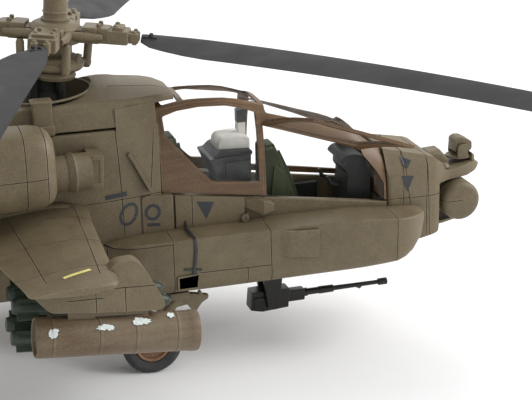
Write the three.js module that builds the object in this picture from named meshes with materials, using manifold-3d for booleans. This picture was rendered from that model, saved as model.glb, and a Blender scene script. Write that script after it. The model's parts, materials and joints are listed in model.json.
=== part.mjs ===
// Display model of an attack helicopter at 1:72, resting on its wheels with one cockpit door raised.
// Every length below is a full-size one in metres; the outer group scales them to model millimetres.
// +X is the nose, +Y is port, +Z is up. The airframe is modelled level and then tilted nose-up as it stands.
import * as THREE from 'three';
import { mergeVertices } from 'three/addons/utils/BufferGeometryUtils.js';
import Module from 'manifold-3d';

const wasm = await Module();
wasm.setup();

// ---------------------------------------------------------------- driving dimensions
const SCALE = 1000 / 72; // model millimetres for each full-size metre
const MM = 1 / SCALE; // one model millimetre
const GAP = 0.3 * MM; // joint line between neighbouring pieces
const FINEST = 0.03 * MM; // smaller facets are left out after a cut
const NOSE_UP = THREE.MathUtils.degToRad(5); // stance on the ground
const TILT_HEIGHT = 2.0; // height of the point the airframe tilts about, on the mast axis

const ROTOR_RADIUS = 7.3;
const ROTOR_HEIGHT = 3.565; // blade root plane above the ground
const ROTOR_AZIMUTH = THREE.MathUtils.degToRad(-19.6); // first blade, from the nose
const BLADE_ROOT = 0.93;
const BLADE_CHORD = 0.6;
const BLADE_DROOP = 0.013; // sag is this times the radius squared
const TAIL_ROTOR = { x: -8.91, y: 0.42, z: 3.62, radius: 1.39, chord: 0.25 };

const SILL_HALF_WIDTH = 0.5;
const BODY_HALF_WIDTH = 0.62;
const BELLY = 0.7;
const DECK = 2.58; // top of the fuselage, under the rotor fairing
const WINDOW_SILL = [[1.12, 1.77], [2.28, 1.6], [3.19, 1.46], [3.76, 1.37]];
const ROOF_LINE = [[1.12, 2.71], [1.5, 2.765], [1.9, 2.745], [2.31, 2.63], [3.44, 2.2], [3.52, 2.11],
  [3.76, 1.93]];
const ROOF_HALF_WIDTH = 0.275;
const CANOPY_WALL = 0.035;
const DOOR_OPENING = THREE.MathUtils.degToRad(104);
const GUNNER_HINGE = [[2.33, -0.378, 2.43], [3.45, -0.378, 2.035]];
const PILOT_HINGE = [[1.16, -0.305, 2.7], [2.27, -0.305, 2.63]];

const CHEEK = { inner: 0.52, outer: 0.88, top: 1.36, rear: 0.3 };
const NACELLE = { y: 1.07, halfWidth: 0.36, low: 2.0, high: 2.84, front: -0.15, rear: -2.35 };
const MAST_OPENING = 0.485;
const WING = { root: 0.645, tip: 2.7, z: 1.69 };
const OUTER_STATION = 2.344;
const INNER_STATION = 1.62;
const POD = { x: 0.18, z: 1.027, radius: 0.205, length: 1.62, slope: THREE.MathUtils.degToRad(5.6) };
const MISSILE = { x: 0.04, z: 0.98, radius: 0.089, length: 1.63, side: 0.175, rise: 0.17 };
const WHEEL = { x: 0.811, y: 1.0, z: 0.253, radius: 0.33, width: 0.22, rim: 0.19, axle: 0.035 };
const TAIL_WHEEL = { x: -9.72, z: 1.05, radius: 0.2, width: 0.14, rim: 0.09, axle: 0.03 };
const GUN = { x: 2.47, z: 0.15 };
const SENSOR = { x: 4.76, z: 1.205, radius: 0.235, halfWidth: 0.42 };
const NIGHT_SENSOR = { x: 4.85, z: 1.79 };
const STABILATOR = { x: -9.35, z: 1.82, halfSpan: 1.7, front: 0.2, rear: 0.62 };

// ---------------------------------------------------------------- materials
const paint = (color, roughness = 0.6, metalness = 0) =>
  new THREE.MeshStandardMaterial({ color, roughness, metalness });
const DRAB = paint(0x6a5d48);
const BROWN = paint(0x6e4f3a);
const POD_BROWN = paint(0x66513f);
const BLADE_GREY = paint(0x4a474a);
const GUN_BLACK = paint(0x231f1e, 0.45);
const RUBBER = paint(0x2c2b2c, 0.85);
const HUB_RUST = paint(0x71503c);
const MISSILE_GREEN = paint(0x2f3a30);
const COCKPIT_GREY = paint(0x33373a, 0.75);
const SEAT_GREEN = paint(0x4d5f3f, 0.85);
const PALE = paint(0xc9c8c2, 0.7);
const CLEAR = new THREE.MeshStandardMaterial({ color: 0xdfe6e4, roughness: 0.12, transparent: true,
  opacity: 0.35 });

// ---------------------------------------------------------------- shape helpers
function extrude(outline, depth, xAxis, yAxis, zAxis) {
  const shape = new THREE.Shape(outline.map(([u, v]) => new THREE.Vector2(u, v)));
  const geometry = new THREE.ExtrudeGeometry(shape, { depth, bevelEnabled: false });
  return geometry.applyMatrix4(new THREE.Matrix4().makeBasis(xAxis, yAxis, zAxis));
}

const X = new THREE.Vector3(1, 0, 0);
const Y = new THREE.Vector3(0, 1, 0);
const Z = new THREE.Vector3(0, 0, 1);

/** A slab with a side-view outline [x, z]. */
const sideSlab = (outline, yLow, yHigh) => extrude(outline, yHigh - yLow, X, Z,
  Y.clone().negate()).translate(0, yHigh, 0);
/** A slab with a plan outline [x, y]. */
const planSlab = (outline, zLow, zHigh) => extrude(outline, zHigh - zLow, X, Y, Z).translate(0, 0, zLow);
/** A slab with a front-view outline [y, z]. */
const frontSlab = (outline, xLow, xHigh) => extrude(outline, xHigh - xLow, Y, Z, X).translate(xLow, 0, 0);

function box(x0, x1, y0, y1, z0, z1) {
  const geometry = new THREE.BoxGeometry(x1 - x0, y1 - y0, z1 - z0);
  return geometry.translate((x0 + x1) / 2, (y0 + y1) / 2, (z0 + z1) / 2);
}

/** A round bar of radius r from point a to point b. */
function rod(a, b, r, sides = 12) {
  const from = new THREE.Vector3(...a);
  const along = new THREE.Vector3(...b).sub(from);
  const geometry = new THREE.CylinderGeometry(r, r, along.length(), sides);
  const turn = new THREE.Quaternion().setFromUnitVectors(Y, along.clone().normalize());
  return geometry.applyQuaternion(turn).translate(...from.addScaledVector(along, 0.5));
}

/** A solid of revolution about Y from a closed profile of [radius, height] points. */
function turned(profile, sides = 24) {
  return new THREE.LatheGeometry([...profile, profile[0]].map(([r, h]) => new THREE.Vector2(r, h)), sides);
}

function signedVolume(points, index) {
  let sum = 0;
  for (let i = 0; i < index.length; i += 3) {
    const [a, b, c] = [points[index[i]], points[index[i + 1]], points[index[i + 2]]];
    sum += a.dot(b.clone().cross(c)) / 6;
  }
  return sum;
}

/** A closed body through rings that all have the same number of points, each point [x, y, z]. */
function loft(rings) {
  const count = rings[0].length;
  const points = rings.flat().map((p) => new THREE.Vector3(...p));
  const index = [];
  for (let i = 0; i + 1 < rings.length; i++) {
    for (let j = 0; j < count; j++) {
      const a = i * count + j;
      const b = i * count + ((j + 1) % count);
      index.push(a, b, a + count, b, b + count, a + count);
    }
  }
  const last = (rings.length - 1) * count;
  for (let j = 1; j + 1 < count; j++) index.push(0, j + 1, j, last, last + j, last + j + 1);
  if (signedVolume(points, index) < 0) index.reverse();
  const geometry = new THREE.BufferGeometry().setFromPoints(points);
  geometry.setIndex(index);
  return geometry;
}

/** Corner-rounded rectangle [u, v] points, counter-clockwise. */
function roundedRect(u0, u1, v0, v1, radius, steps = 3) {
  const points = [];
  const corners = [[u1 - radius, v0 + radius, -90], [u1 - radius, v1 - radius, 0], [u0 + radius,
    v1 - radius, 90], [u0 + radius, v0 + radius, 180]];
  for (const [u, v, start] of corners) {
    for (let k = 0; k <= steps; k++) {
      const angle = THREE.MathUtils.degToRad(start + (90 * k) / steps);
      points.push([u + radius * Math.cos(angle), v + radius * Math.sin(angle)]);
    }
  }
  return points;
}

const atX = (x, outline) => outline.map(([y, z]) => [x, y, z]);
const mirror = (halfOutline) => [...halfOutline, ...halfOutline.map(([y, z]) => [-y, z]).reverse()];

/** Height of a broken line [[x, z], ...] at x. */
function heightAt(line, x) {
  const next = Math.max(1, line.findIndex(([px]) => px >= x));
  const [x0, z0] = line[next - 1];
  const [x1, z1] = line[next];
  return THREE.MathUtils.mapLinear(x, x0, x1, z0, z1);
}

// ---------------------------------------------------------------- joins and cuts
function toSolid(geometry) {
  const bare = geometry.clone();
  for (const name of ['normal', 'uv']) bare.deleteAttribute(name);
  const merged = mergeVertices(bare, 1e-6);
  const mesh = { numProp: 3, vertProperties: merged.attributes.position.array,
    triVerts: new Uint32Array(merged.index.array) };
  return new wasm.Manifold(new wasm.Mesh(mesh));
}

function toGeometry(solid) {
  const mesh = solid.simplify(FINEST).getMesh();
  const geometry = new THREE.BufferGeometry();
  geometry.setAttribute('position', new THREE.BufferAttribute(mesh.vertProperties, 3));
  geometry.setIndex(new THREE.BufferAttribute(mesh.triVerts, 1));
  return geometry;
}

const join = (...parts) => toGeometry(parts.map(toSolid).reduce((a, b) => a.add(b)));
const cut = (body, ...tools) => toGeometry(tools.map(toSolid).reduce((a, b) => a.subtract(b),
  toSolid(body)));
const common = (...parts) => toGeometry(parts.map(toSolid).reduce((a, b) => a.intersect(b)));

// ---------------------------------------------------------------- scene graph
const helicopter = new THREE.Group();
helicopter.scale.setScalar(SCALE);
const airframe = new THREE.Group(); // modelled level, tilted about the mast axis
airframe.position.z = TILT_HEIGHT;
airframe.rotation.y = -NOSE_UP;
const level = new THREE.Group();
level.position.z = -TILT_HEIGHT;
airframe.add(level);
helicopter.add(airframe);

function piece(name, material, geometry, parent = level) {
  const mesh = new THREE.Mesh(geometry, material);
  mesh.name = name;
  parent.add(mesh);
  return mesh;
}

/** Calls build(side, sign) for the starboard (-Y) and the port (+Y) side. */
const bothSides = (build) => [['right', -1], ['left', 1]].forEach(([side, sign]) => build(side, sign));

// ---------------------------------------------------------------- fuselage, nose and tail
function fuselageRing(x, low, top, belly, side, shoulder, deck) {
  return atX(x, mirror([[belly, low], [side, low + 0.14], [side, shoulder], [deck, top - 0.03],
    [deck - 0.05, top]]));
}

function buildFuselage() {
  const hull = loft([
    fuselageRing(-4.2, 1.42, 2.5, 0.24, 0.38, 2.25, 0.3),
    fuselageRing(-3.5, 1.0, 2.57, 0.32, 0.48, 2.3, 0.4),
    fuselageRing(-2.9, 0.74, DECK, 0.4, 0.56, 2.35, 0.48),
    fuselageRing(-1.0, BELLY, DECK, 0.44, 0.6, 2.45, 0.56),
    fuselageRing(0.6, BELLY, DECK, 0.46, BODY_HALF_WIDTH, 2.45, 0.6),
    fuselageRing(1.08, BELLY, DECK, 0.46, 0.54, 2.3, 0.5),
    fuselageRing(1.1, BELLY, 1.77, 0.46, 0.53, 1.7, 0.51),
    fuselageRing(2.28, BELLY, 1.6, 0.46, SILL_HALF_WIDTH, 1.54, SILL_HALF_WIDTH),
    fuselageRing(3.76, 0.72, 1.37, 0.44, SILL_HALF_WIDTH, 1.33, SILL_HALF_WIDTH),
  ]);
  const rearTub = box(1.2, 2.24, -0.43, 0.43, 1.2, 2.2);
  const frontTub = box(2.36, 3.69, -0.43, 0.43, 1.0, 2.2);
  const cheekRoom = (sign) => {
    const [near, far] = [sign * (CHEEK.inner - GAP), sign * 1.2];
    return box(CHEEK.rear - GAP, 4, Math.min(near, far), Math.max(near, far), 0.5, CHEEK.top + GAP);
  };
  piece('fuselage', DRAB, cut(hull, rearTub, frontTub, cheekRoom(-1), cheekRoom(1)));
}

function buildNose() {
  const side = [[3.785, 0.78], [4.36, 0.86], [4.55, 0.88], [4.95, 0.92], [4.95, 0.945], [4.5, 0.945],
    [4.5, 1.26],
    [4.6, 1.4], [4.72, 1.46], [4.92, 1.47], [5.03, 1.52], [5.12, 1.56], [5.02, 1.6], [4.93, 1.62], [4.7,
      1.57],
    [4.59, 1.58], [4.5, 1.72], [4.37, 1.81], [4.18, 1.86], [3.785, 1.95]];
  const plan = [[3.785, 0.5], [4.4, 0.45], [4.52, 0.42], [4.66, 0.3], [4.85, 0.24], [5.05, 0.17], [5.12,
    0.08]];
  const front = mirror([[0.46, 0.6], [0.5, 0.75], [0.5, 1.68], [0.34, 1.93], [0.2, 1.98]]);
  const body = common(
    sideSlab(side, -0.6, 0.6),
    planSlab([...plan, ...plan.map(([x, y]) => [x, -y]).reverse()], 0.6, 2.1),
    frontSlab(front, 3.7, 5.2),
  );
  // The sensor drum turns in a hollow in the front face.
  const sweep = Math.hypot(SENSOR.halfWidth, SENSOR.radius) + GAP;
  const hollow = rod([SENSOR.x, 0, 0.96], [SENSOR.x, 0, 1.475], sweep, 32);
  const cowl = sideSlab([[4.36, 1.7], [4.44, 1.77], [4.64, 1.78], [4.66, 1.6], [4.4, 1.6]], -0.13, 0.13);
  piece('nose_section', DRAB, join(cut(body, hollow), cowl));
}

function buildCheeks() {
  bothSides((side, sign) => {
    const ring = (x, outer, low, top) =>
      atX(x, [[CHEEK.inner, low], [outer - 0.07, low], [outer, low + 0.08], [outer, top - 0.06],
        [outer - 0.05, top], [CHEEK.inner, top]]
        .map(([y, z]) => [sign * y, z]));
    const body = loft([
      ring(CHEEK.rear, 0.66, 0.82, 1.3),
      ring(0.75, CHEEK.outer, 0.71, CHEEK.top),
      ring(2.2, CHEEK.outer, 0.7, CHEEK.top),
      ring(3.2, CHEEK.outer, 0.7, 1.345),
      ring(3.79, 0.86, 0.72, 1.29),
      ring(4.02, 0.78, 0.82, 1.275),
      ring(4.14, 0.69, 0.92, 1.26),
      ring(4.2, 0.59, 1.04, 1.22),
    ]);
    const blister = sideSlab([[2.31, 0.97], [2.81, 0.94], [2.81, 1.3], [2.45, 1.31], [2.31, 1.24]],
      sign < 0 ? -0.905 : 0.85, sign < 0 ? -0.85 : 0.905);
    piece(`cheek_fairing_${side}`, DRAB, join(body, blister));
  });
}

function buildRotorFairing() {
  const base = DECK + GAP;
  const ring = (x, low, foot, edge, edgeHeight, crown) =>
    atX(x, mirror([[foot, low], [foot, low + 0.05], [edge, edgeHeight - 0.03], [edge - 0.06, edgeHeight],
      [0.2, crown]]));
  const body = loft([
    ring(-3.6, base, 0.34, 0.3, base + 0.06, base + 0.08),
    ring(-2.4, base, 0.46, 0.38, 2.76, 2.8),
    ring(-1.2, base, 0.55, 0.45, 2.84, 2.89),
    ring(-0.5, base, 0.58, 0.51, 2.85, 2.9),
    ring(0.35, base, 0.6, 0.52, 2.87, 2.99),
    ring(0.58, base, 0.6, 0.52, 2.87, 3.02),
    ring(1.08, base, 0.5, 0.47, 2.83, 2.95),
    ring(1.1, 2.81, 0.46, 0.45, 2.88, 2.945),
    ring(1.26, 2.81, 0.39, 0.38, 2.87, 2.89),
    ring(1.33, 2.79, 0.33, 0.32, 2.85, 2.86),
  ]);
  const opening = rod([0, 0, 2.5], [0, 0, 3.2], MAST_OPENING, 28);
  piece('rotor_fairing', DRAB, cut(body, opening));
}

function buildTail() {
  const ring = (x, low, top, half) => atX(x, roundedRect(-half, half, low, top, half * 0.6));
  piece('tail_boom', DRAB, loft([
    ring(-8.56, 1.83, 2.36, 0.2),
    ring(-6.5, 1.64, 2.43, 0.29),
    ring(-4.2 - GAP, 1.42, 2.5, 0.36),
  ]));

  const finRing = (z, rear, front, half) => {
    const taper = 0.3 * (front - rear);
    return [[rear, 0, z], [rear + taper, -half, z], [front - taper, -half, z], [front, 0, z],
      [front - taper, half, z], [rear + taper, half, z]];
  };
  // The stabilator swings in the step under the fin's rear half.
  const fin = loft([
    finRing(1.74, -9.08, -8.56 - GAP, 0.17),
    finRing(2.0, -9.08, -8.56 - GAP, 0.17),
    finRing(2.05, -9.78, -8.56 - GAP, 0.16),
    finRing(2.4, -9.82, -8.56 - GAP, 0.14),
    finRing(2.62, -9.8, -8.66, 0.12),
    finRing(4.22, -9.72, -9.1, 0.06),
  ]);
  const gearbox = rod([TAIL_ROTOR.x, -0.02, TAIL_ROTOR.z], [TAIL_ROTOR.x, TAIL_ROTOR.y - 0.09,
    TAIL_ROTOR.z], 0.13);
  piece('tail_fin', DRAB, join(fin, gearbox));
}

function buildStabilator() {
  const span = STABILATOR.halfSpan;
  const ring = (y, chord) => [
    [STABILATOR.front * chord, y, 0], [STABILATOR.front * 0.6 * chord, y, 0.05],
      [-STABILATOR.rear * chord, y, 0.012],
    [-STABILATOR.rear * chord, y, -0.012], [STABILATOR.front * 0.6 * chord, y, -0.05]];
  const stabilator = piece('stabilator', DRAB, loft([ring(-span, 0.8), ring(0, 1), ring(span, 0.8)]));
  stabilator.position.set(STABILATOR.x, 0, STABILATOR.z);
}

// ---------------------------------------------------------------- engines
function buildEngines() {
  bothSides((side, sign) => {
    const ring = (x, inset, lift = 0) => {
      const { y, halfWidth, low, high } = NACELLE;
      return atX(x, roundedRect(sign * y - halfWidth + inset, sign * y + halfWidth - inset,
        low + inset + lift, high - inset + lift, 0.26 - inset));
    };
    const pod = loft([
      ring(NACELLE.rear, 0.06), ring(-1.9, 0.01), ring(-0.55, 0), ring(-0.3, 0.02), ring(-0.2, 0.06),
        ring(NACELLE.front, 0.11)]);
    const inlet = loft([ring(-0.42, 0.15), ring(0, 0.15)]);
    const inner = sign * (BODY_HALF_WIDTH + GAP);
    const mount = box(-2.0, -0.5, Math.min(inner, sign * 0.9), Math.max(inner, sign * 0.9), 2.12, 2.4);
    const shaft = rod([-0.6, sign * 0.93, 2.28], [0.22, sign * 0.82, 2.26], 0.2, 16);
    const gearbox = box(0.12, 0.4, Math.min(inner, sign * 0.9), Math.max(inner, sign * 0.9), 2.06, 2.45);
    piece(`engine_nacelle_${side}`, DRAB, join(cut(pod, inlet), mount, shaft, gearbox));

    const duct = loft([ring(NACELLE.rear - GAP, 0.08), ring(-2.8, 0.06, 0.03), ring(-3.15, 0.12, 0.08)]);
    const slots = [-1, 0, 1].map((k) =>
      box(-3.3, -2.95, sign * NACELLE.y - 0.15, sign * NACELLE.y + 0.15, 2.46 + 0.19 * k, 2.6 + 0.19 * k));
    piece(`engine_exhaust_${side}`, DRAB, cut(duct, ...slots));
  });
}

// ---------------------------------------------------------------- wings and stores
function buildWings() {
  bothSides((side, sign) => {
    const ring = (y, front, rear, thickness, z) => {
      const chord = front - rear;
      const at = (part, height) => [front - chord * part, sign * y, z + thickness * height];
      return [at(0, 0), at(0.06, 0.36), at(0.3, 0.5), at(0.7, 0.3), at(1, 0.05), at(1, -0.05), at(0.7,
        -0.25), at(0.3, -0.4), at(0.06, -0.3)];
    };
    piece(`wing_${side}`, DRAB, loft([
      ring(WING.root, 0.27, -1.12, 0.24, WING.z),
      ring(1.6, 0.22, -0.92, 0.19, WING.z),
      ring(2.34, 0.18, -0.76, 0.15, WING.z - 0.01),
      ring(2.64, 0.13, -0.71, 0.12, WING.z - 0.02),
      ring(WING.tip, -0.02, -0.67, 0.06, WING.z - 0.02),
    ]));
  });
}

function buildPylons() {
  const under = 1.565;
  const keel = [[-0.66, under], [-0.46, 1.37], [0, 1.31]];
  // The outer pylon reaches ahead of the wing and wraps its leading edge; the inner one stops under it.
  const outer = [...keel, [0.6, 1.25], [0.66, 1.29], [0.64, 1.37], [0.45, 1.74], [0.39, 1.81], [0.235,
    1.81], [0.235, under]];
  const inner = [...keel, [0.2, 1.29], [0.24, 1.32], [0.16, under]];
  bothSides((side, sign) => {
    const build = (name, station, outline) =>
      piece(`${name}_pylon_${side}`, DRAB, sideSlab(outline, sign * station - 0.08, sign * station + 0.08));
    build('outer', OUTER_STATION, outer);
    build('inner', INNER_STATION, inner);
  });
}

/** Lays a solid turned about Y down along X, its +Y end forward. */
const layForward = (geometry) => geometry.rotateZ(-Math.PI / 2);

function buildRocketPods() {
  const { radius, length } = POD;
  const half = length / 2;
  const can = layForward(turned([[0, -half + 0.04], [radius * 0.86, -half + 0.04], [radius * 0.9, -half],
    [radius, -half + 0.02],
    [radius, half - 0.03], [radius * 0.93, half], [radius * 0.86, half - 0.02], [0, half - 0.02]], 20));
  bothSides((side, sign) => {
    const pod = piece(`rocket_pod_${side}`, POD_BROWN, can);
    pod.position.set(POD.x, sign * OUTER_STATION, POD.z);
    pod.rotation.y = POD.slope;
  });
}

function buildMissiles() {
  const { radius, length, side: spread, rise } = MISSILE;
  const half = length / 2;
  const profile = [[0, -half], [radius * 0.8, -half], [radius, -half + 0.08], [radius, half - 0.16],
    [radius * 0.75, half - 0.05], [0, half]];
  const finSpan = 0.15;
  const launcher = join(box(-0.42, 0.45, -0.055, 0.055, -0.2, 0.2), box(-0.3, 0.3, -0.055, 0.055, 0.15,
    0.27));
  const body = (z) => {
    const fins = [45, 135].map((angle) =>
      box(-half + 0.05, -half + 0.28, -finSpan, finSpan, -0.012,
        0.012).rotateX(THREE.MathUtils.degToRad(angle)));
    return join(layForward(turned(profile, 12)), ...fins).translate(0, 0, z);
  };
  bothSides((side, sign) => {
    const rack = new THREE.Group();
    rack.position.set(MISSILE.x, sign * INNER_STATION, MISSILE.z);
    rack.rotation.y = POD.slope;
    level.add(rack);
    piece(`missile_launcher_${side}`, DRAB, launcher, rack);
    for (const [place, way] of [['outer', sign], ['inner', -sign]]) {
      const rail = box(-0.4, 0.4, Math.min(0, way * -0.095), Math.max(0, way * -0.095), -rise - 0.02,
        rise + 0.02);
      const pair = piece(`missile_pair_${place}_${side}`, MISSILE_GREEN, join(body(rise), body(-rise),
        rail), rack);
      pair.position.y = way * spread;
    }
  });
}

// ---------------------------------------------------------------- canopy and doors
/** The canopy as a solid, shrunk on its outside by inset and ending lower by drop. */
function canopyBlock(inset, drop) {
  const stations = ROOF_LINE.map(([x]) => x);
  return loft(stations.map((x, i) => {
    const roof = heightAt(ROOF_LINE, x) - inset;
    const sill = heightAt(WINDOW_SILL, x) + GAP;
    const rise = roof - sill;
    const end = i === 0 ? inset : i === stations.length - 1 ? -inset : 0;
    return atX(x + end, mirror([
      ...(drop > 0 ? [[SILL_HALF_WIDTH - inset, sill - drop]] : []), [SILL_HALF_WIDTH - inset, sill],
        [0.455 - inset, sill + 0.46 * rise],
      [0.365 - inset, sill + 0.82 * rise], [ROOF_HALF_WIDTH - inset * 0.5, roof], [0.12, roof + 0.012]]));
  }));
}

const shell = (outside, inside) => cut(canopyBlock(outside, 0), canopyBlock(inside, 0.3));
const WINDOWS = {
  pilot: [[1.2, 2.58], [1.24, 2.42], [1.62, 1.92], [1.72, 1.83], [2.22, 1.78], [2.24, 2.52], [2.1,
    2.585], [1.65, 2.65], [1.26, 2.63]],
  gunner: [[2.42, 1.69], [3.1, 1.57], [3.58, 1.5], [3.36, 1.93], [2.9, 2.1], [2.42, 2.27]],
};
const DOORS = {
  pilot: [[1.13, 1.74], [2.29, 1.57], [2.29, 2.625], [1.9, 2.7], [1.5, 2.715], [1.13, 2.66]],
  gunner: [[2.335, 1.58], [3.71, 1.37], [3.47, 2.025], [2.335, 2.42]],
};

/** Grows or shrinks an outline about its middle by a plain margin along both axes. */
function swell(outline, margin) {
  const middle = outline.reduce(([a, b], [u, v]) => [a + u / outline.length, b + v / outline.length], [0,
    0]);
  return outline.map(([u, v]) => [u + margin * Math.sign(u - middle[0]),
    v + margin * Math.sign(v - middle[1])]);
}

function buildCanopy() {
  const frameShell = shell(0, CANOPY_WALL);
  const glassShell = shell(CANOPY_WALL + GAP, CANOPY_WALL + GAP + 0.03);
  const roofWindow = (x0, x1) => planSlab([[x0, -0.21], [x1, -0.21], [x1, 0.21], [x0, 0.21]], 2.12, 3);
  const screen = frontSlab([[-0.22, 1.9], [0.22, 1.9], [0.22, 2.16], [-0.22, 2.16]], 3.4, 3.9);
  const portWindows = Object.values(WINDOWS).map((outline) => sideSlab(outline, 0.2, 0.8));
  const doorways = Object.values(DOORS).map((outline) => sideSlab(swell(outline, GAP), -0.8, -0.2));
  piece('canopy_frame', BROWN, cut(frameShell,
    roofWindow(1.45, 2.24), roofWindow(2.38, 3.4), screen, ...portWindows, ...doorways));
  piece('canopy_glass', CLEAR, cut(glassShell,
    ...Object.values(DOORS).map((outline) => sideSlab(swell(outline, 2 * GAP), -0.8, -0.2))));

  for (const [name, hinge, opening] of [['pilot', PILOT_HINGE, 0], ['gunner', GUNNER_HINGE,
    DOOR_OPENING]]) {
    const doorway = sideSlab(DOORS[name], -0.8, -0.2);
    const hung = new THREE.Group();
    const [a, b] = hinge.map((p) => new THREE.Vector3(...p));
    hung.position.copy(a);
    hung.quaternion.setFromAxisAngle(b.clone().sub(a).normalize(), -opening);
    level.add(hung);
    const back = (geometry) => geometry.translate(-a.x, -a.y, -a.z);
    const window = sideSlab(WINDOWS[name], -0.8, -0.2);
    piece(`${name}_door_frame`, BROWN, back(cut(common(frameShell, doorway), window)), hung);
    piece(`${name}_door_glass`, CLEAR, back(common(glassShell, sideSlab(swell(WINDOWS[name], 0.02), -0.8,
      -0.2))), hung);
  }
}

function buildCockpit() {
  const seat = (x, floor, back) => sideSlab([[x, floor], [x + 0.5, floor], [x + 0.52, floor + 0.24],
    [x + 0.22, floor + 0.3],
    [x + 0.16, back - 0.05], [x + 0.08, back], [x - 0.02, back - 0.04]], -0.21, 0.21);
  piece('pilot_seat', SEAT_GREEN, seat(1.26, 1.2 + GAP, 2.3));
  const gunnerSeat = sideSlab([[2.4, 1 + GAP], [2.98, 1 + GAP], [3.0, 1.24], [2.84, 1.32], [2.55, 2.02],
    [2.47, 2.14], [2.41, 2.1]], -0.21, 0.21);
  piece('gunner_seat', SEAT_GREEN, gunnerSeat);
  piece('instrument_cowl', COCKPIT_GREY,
    sideSlab([[1.66, 2.0], [1.84, 1.7], [1.86, 1.2 + GAP], [2.2, 1.2 + GAP], [2.2, 2.02]], -0.3, 0.3));
  const shield = sideSlab(roundedRect(1.78, 2.24, 2.02 + GAP, 2.28, 0.05), -0.2, 0.2);
  piece('blast_shield', PALE, join(shield, box(2.1, 2.2, -0.04, 0.04, 2.2, 2.5)));
  const console = sideSlab([[3.26, 1 + GAP], [3.66, 1 + GAP], [3.66, 1.84], [3.54, 1.9], [3.3, 1.94],
    [3.2, 1.9], [3.22, 1.84],
    [3.33, 1.82], [3.26, 1.66]], -0.24, 0.24);
  piece('sight_console', COCKPIT_GREY, console);
}

// ---------------------------------------------------------------- undercarriage
function wheel(name, { x, y, z, radius, width, rim, axle }, parent) {
  const half = width / 2;
  const tyre = turned([[rim + GAP, -half * 0.8], [radius * 0.86, -half], [radius * 0.97, -half * 0.75],
    [radius, -half * 0.3],
    [radius, half * 0.3], [radius * 0.97, half * 0.75], [radius * 0.86, half], [rim + GAP, half * 0.8]],
      28);
  const hub = turned([[axle + GAP, -half * 0.8], [rim, -half * 0.75], [rim, half * 0.75], [rim * 0.8,
    half * 0.75],
    [rim * 0.7, half * 0.5], [axle + 0.05, half * 0.6], [axle + GAP, half * 0.8]], 24);
  piece(`${name}_tyre`, RUBBER, tyre, parent).position.set(x, y, z);
  const hubMesh = piece(`${name}_wheel_hub`, HUB_RUST, hub, parent);
  hubMesh.position.set(x, y, z);
  if (y < 0) hubMesh.rotation.x = Math.PI;
}

function buildMainGear() {
  bothSides((side, sign) => {
    const { x, z, y, width, axle } = WHEEL;
    const legY = sign * (y - width / 2 - 0.1);
    const knee = [1.22, sign * 0.7, 0.62];
    const outerEnd = sign * (y + width * 0.45);
    const step = sideSlab([[1.05, 0.5], [1.18, 0.66], [1.42, 0.63], [1.55, 0.59], [1.53, 0.55], [1.36,
      0.4]],
      sign < 0 ? -0.73 : 0.67, sign < 0 ? -0.67 : 0.73);
    const foot = box(1.1, 1.3, sign * 0.7 - 0.07, sign * 0.7 + 0.07, 0.6, BELLY - GAP - 0.01);
    piece(`gear_leg_${side}`, DRAB, join(
      rod(knee, [x, legY, z], 0.055), rod([x, sign * (y - width / 2 - 0.15), z], [x, outerEnd, z], axle,
        16), step, foot));
    wheel(`main_${side}`, { ...WHEEL, y: sign * y }, level);
  });
}

function buildTailGear() {
  const { x, z, radius, width, axle } = TAIL_WHEEL;
  const side = width / 2 + 0.05;
  const pivotX = -9.05;
  const arm = (y) => join(rod([pivotX, y * 0.6, 1.5], [x, y, z], 0.032), rod([x, y - 0.032, z], [x,
    y + 0.032, z], 0.05));
  const post = rod([pivotX, 0, 1.45], [pivotX, 0, 1.74 - GAP], 0.07);
  const yoke = box(pivotX - 0.07, pivotX + 0.06, -side, side, 1.42, 1.54);
  const spindle = rod([x, -side, z], [x, side, z], axle, 12);
  piece('tail_wheel_fork', DRAB, join(arm(-side), arm(side), post, yoke, spindle));
  const half = width / 2;
  const tyre = turned([[axle + GAP, -half * 0.7], [radius * 0.85, -half], [radius, -half * 0.4], [radius,
    half * 0.4],
    [radius * 0.85, half], [axle + GAP, half * 0.7]], 20);
  piece('tail_wheel', RUBBER, tyre).position.set(x, 0, z);
}

// ---------------------------------------------------------------- gun and sensors
function buildGun() {
  const top = BELLY - GAP;
  const turret = join(
    rod([GUN.x, 0, 0.52], [GUN.x, 0, top], 0.17, 20),
    box(GUN.x - 0.13, GUN.x + 0.13, -0.19, 0.19, 0.46, 0.56),
    ...[-1, 1].map((s) => sideSlab([[GUN.x - 0.12, 0.54], [GUN.x - 0.06, 0.06], [GUN.x + 0.08, 0.06],
      [GUN.x + 0.13, 0.54]],
      Math.min(s * 0.13, s * 0.19), Math.max(s * 0.13, s * 0.19))),
  );
  piece('gun_turret', GUN_BLACK, turret);
  const gun = join(
    sideSlab([[2.22, 0.04], [2.36, 0.01], [2.69, 0.03], [2.71, 0.26], [2.24, 0.27]], -0.1, 0.1),
    box(2.6, 2.9, -0.07, 0.07, 0.07, 0.22),
    rod([2.85, 0, GUN.z], [3.3, 0, GUN.z], 0.045),
    rod([3.2, 0, GUN.z], [3.9, 0, GUN.z], 0.028),
    rod([3.84, 0, GUN.z - 0.01], [3.98, 0, GUN.z - 0.01], 0.045),
  );
  piece('gun', GUN_BLACK, gun);
}

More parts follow.
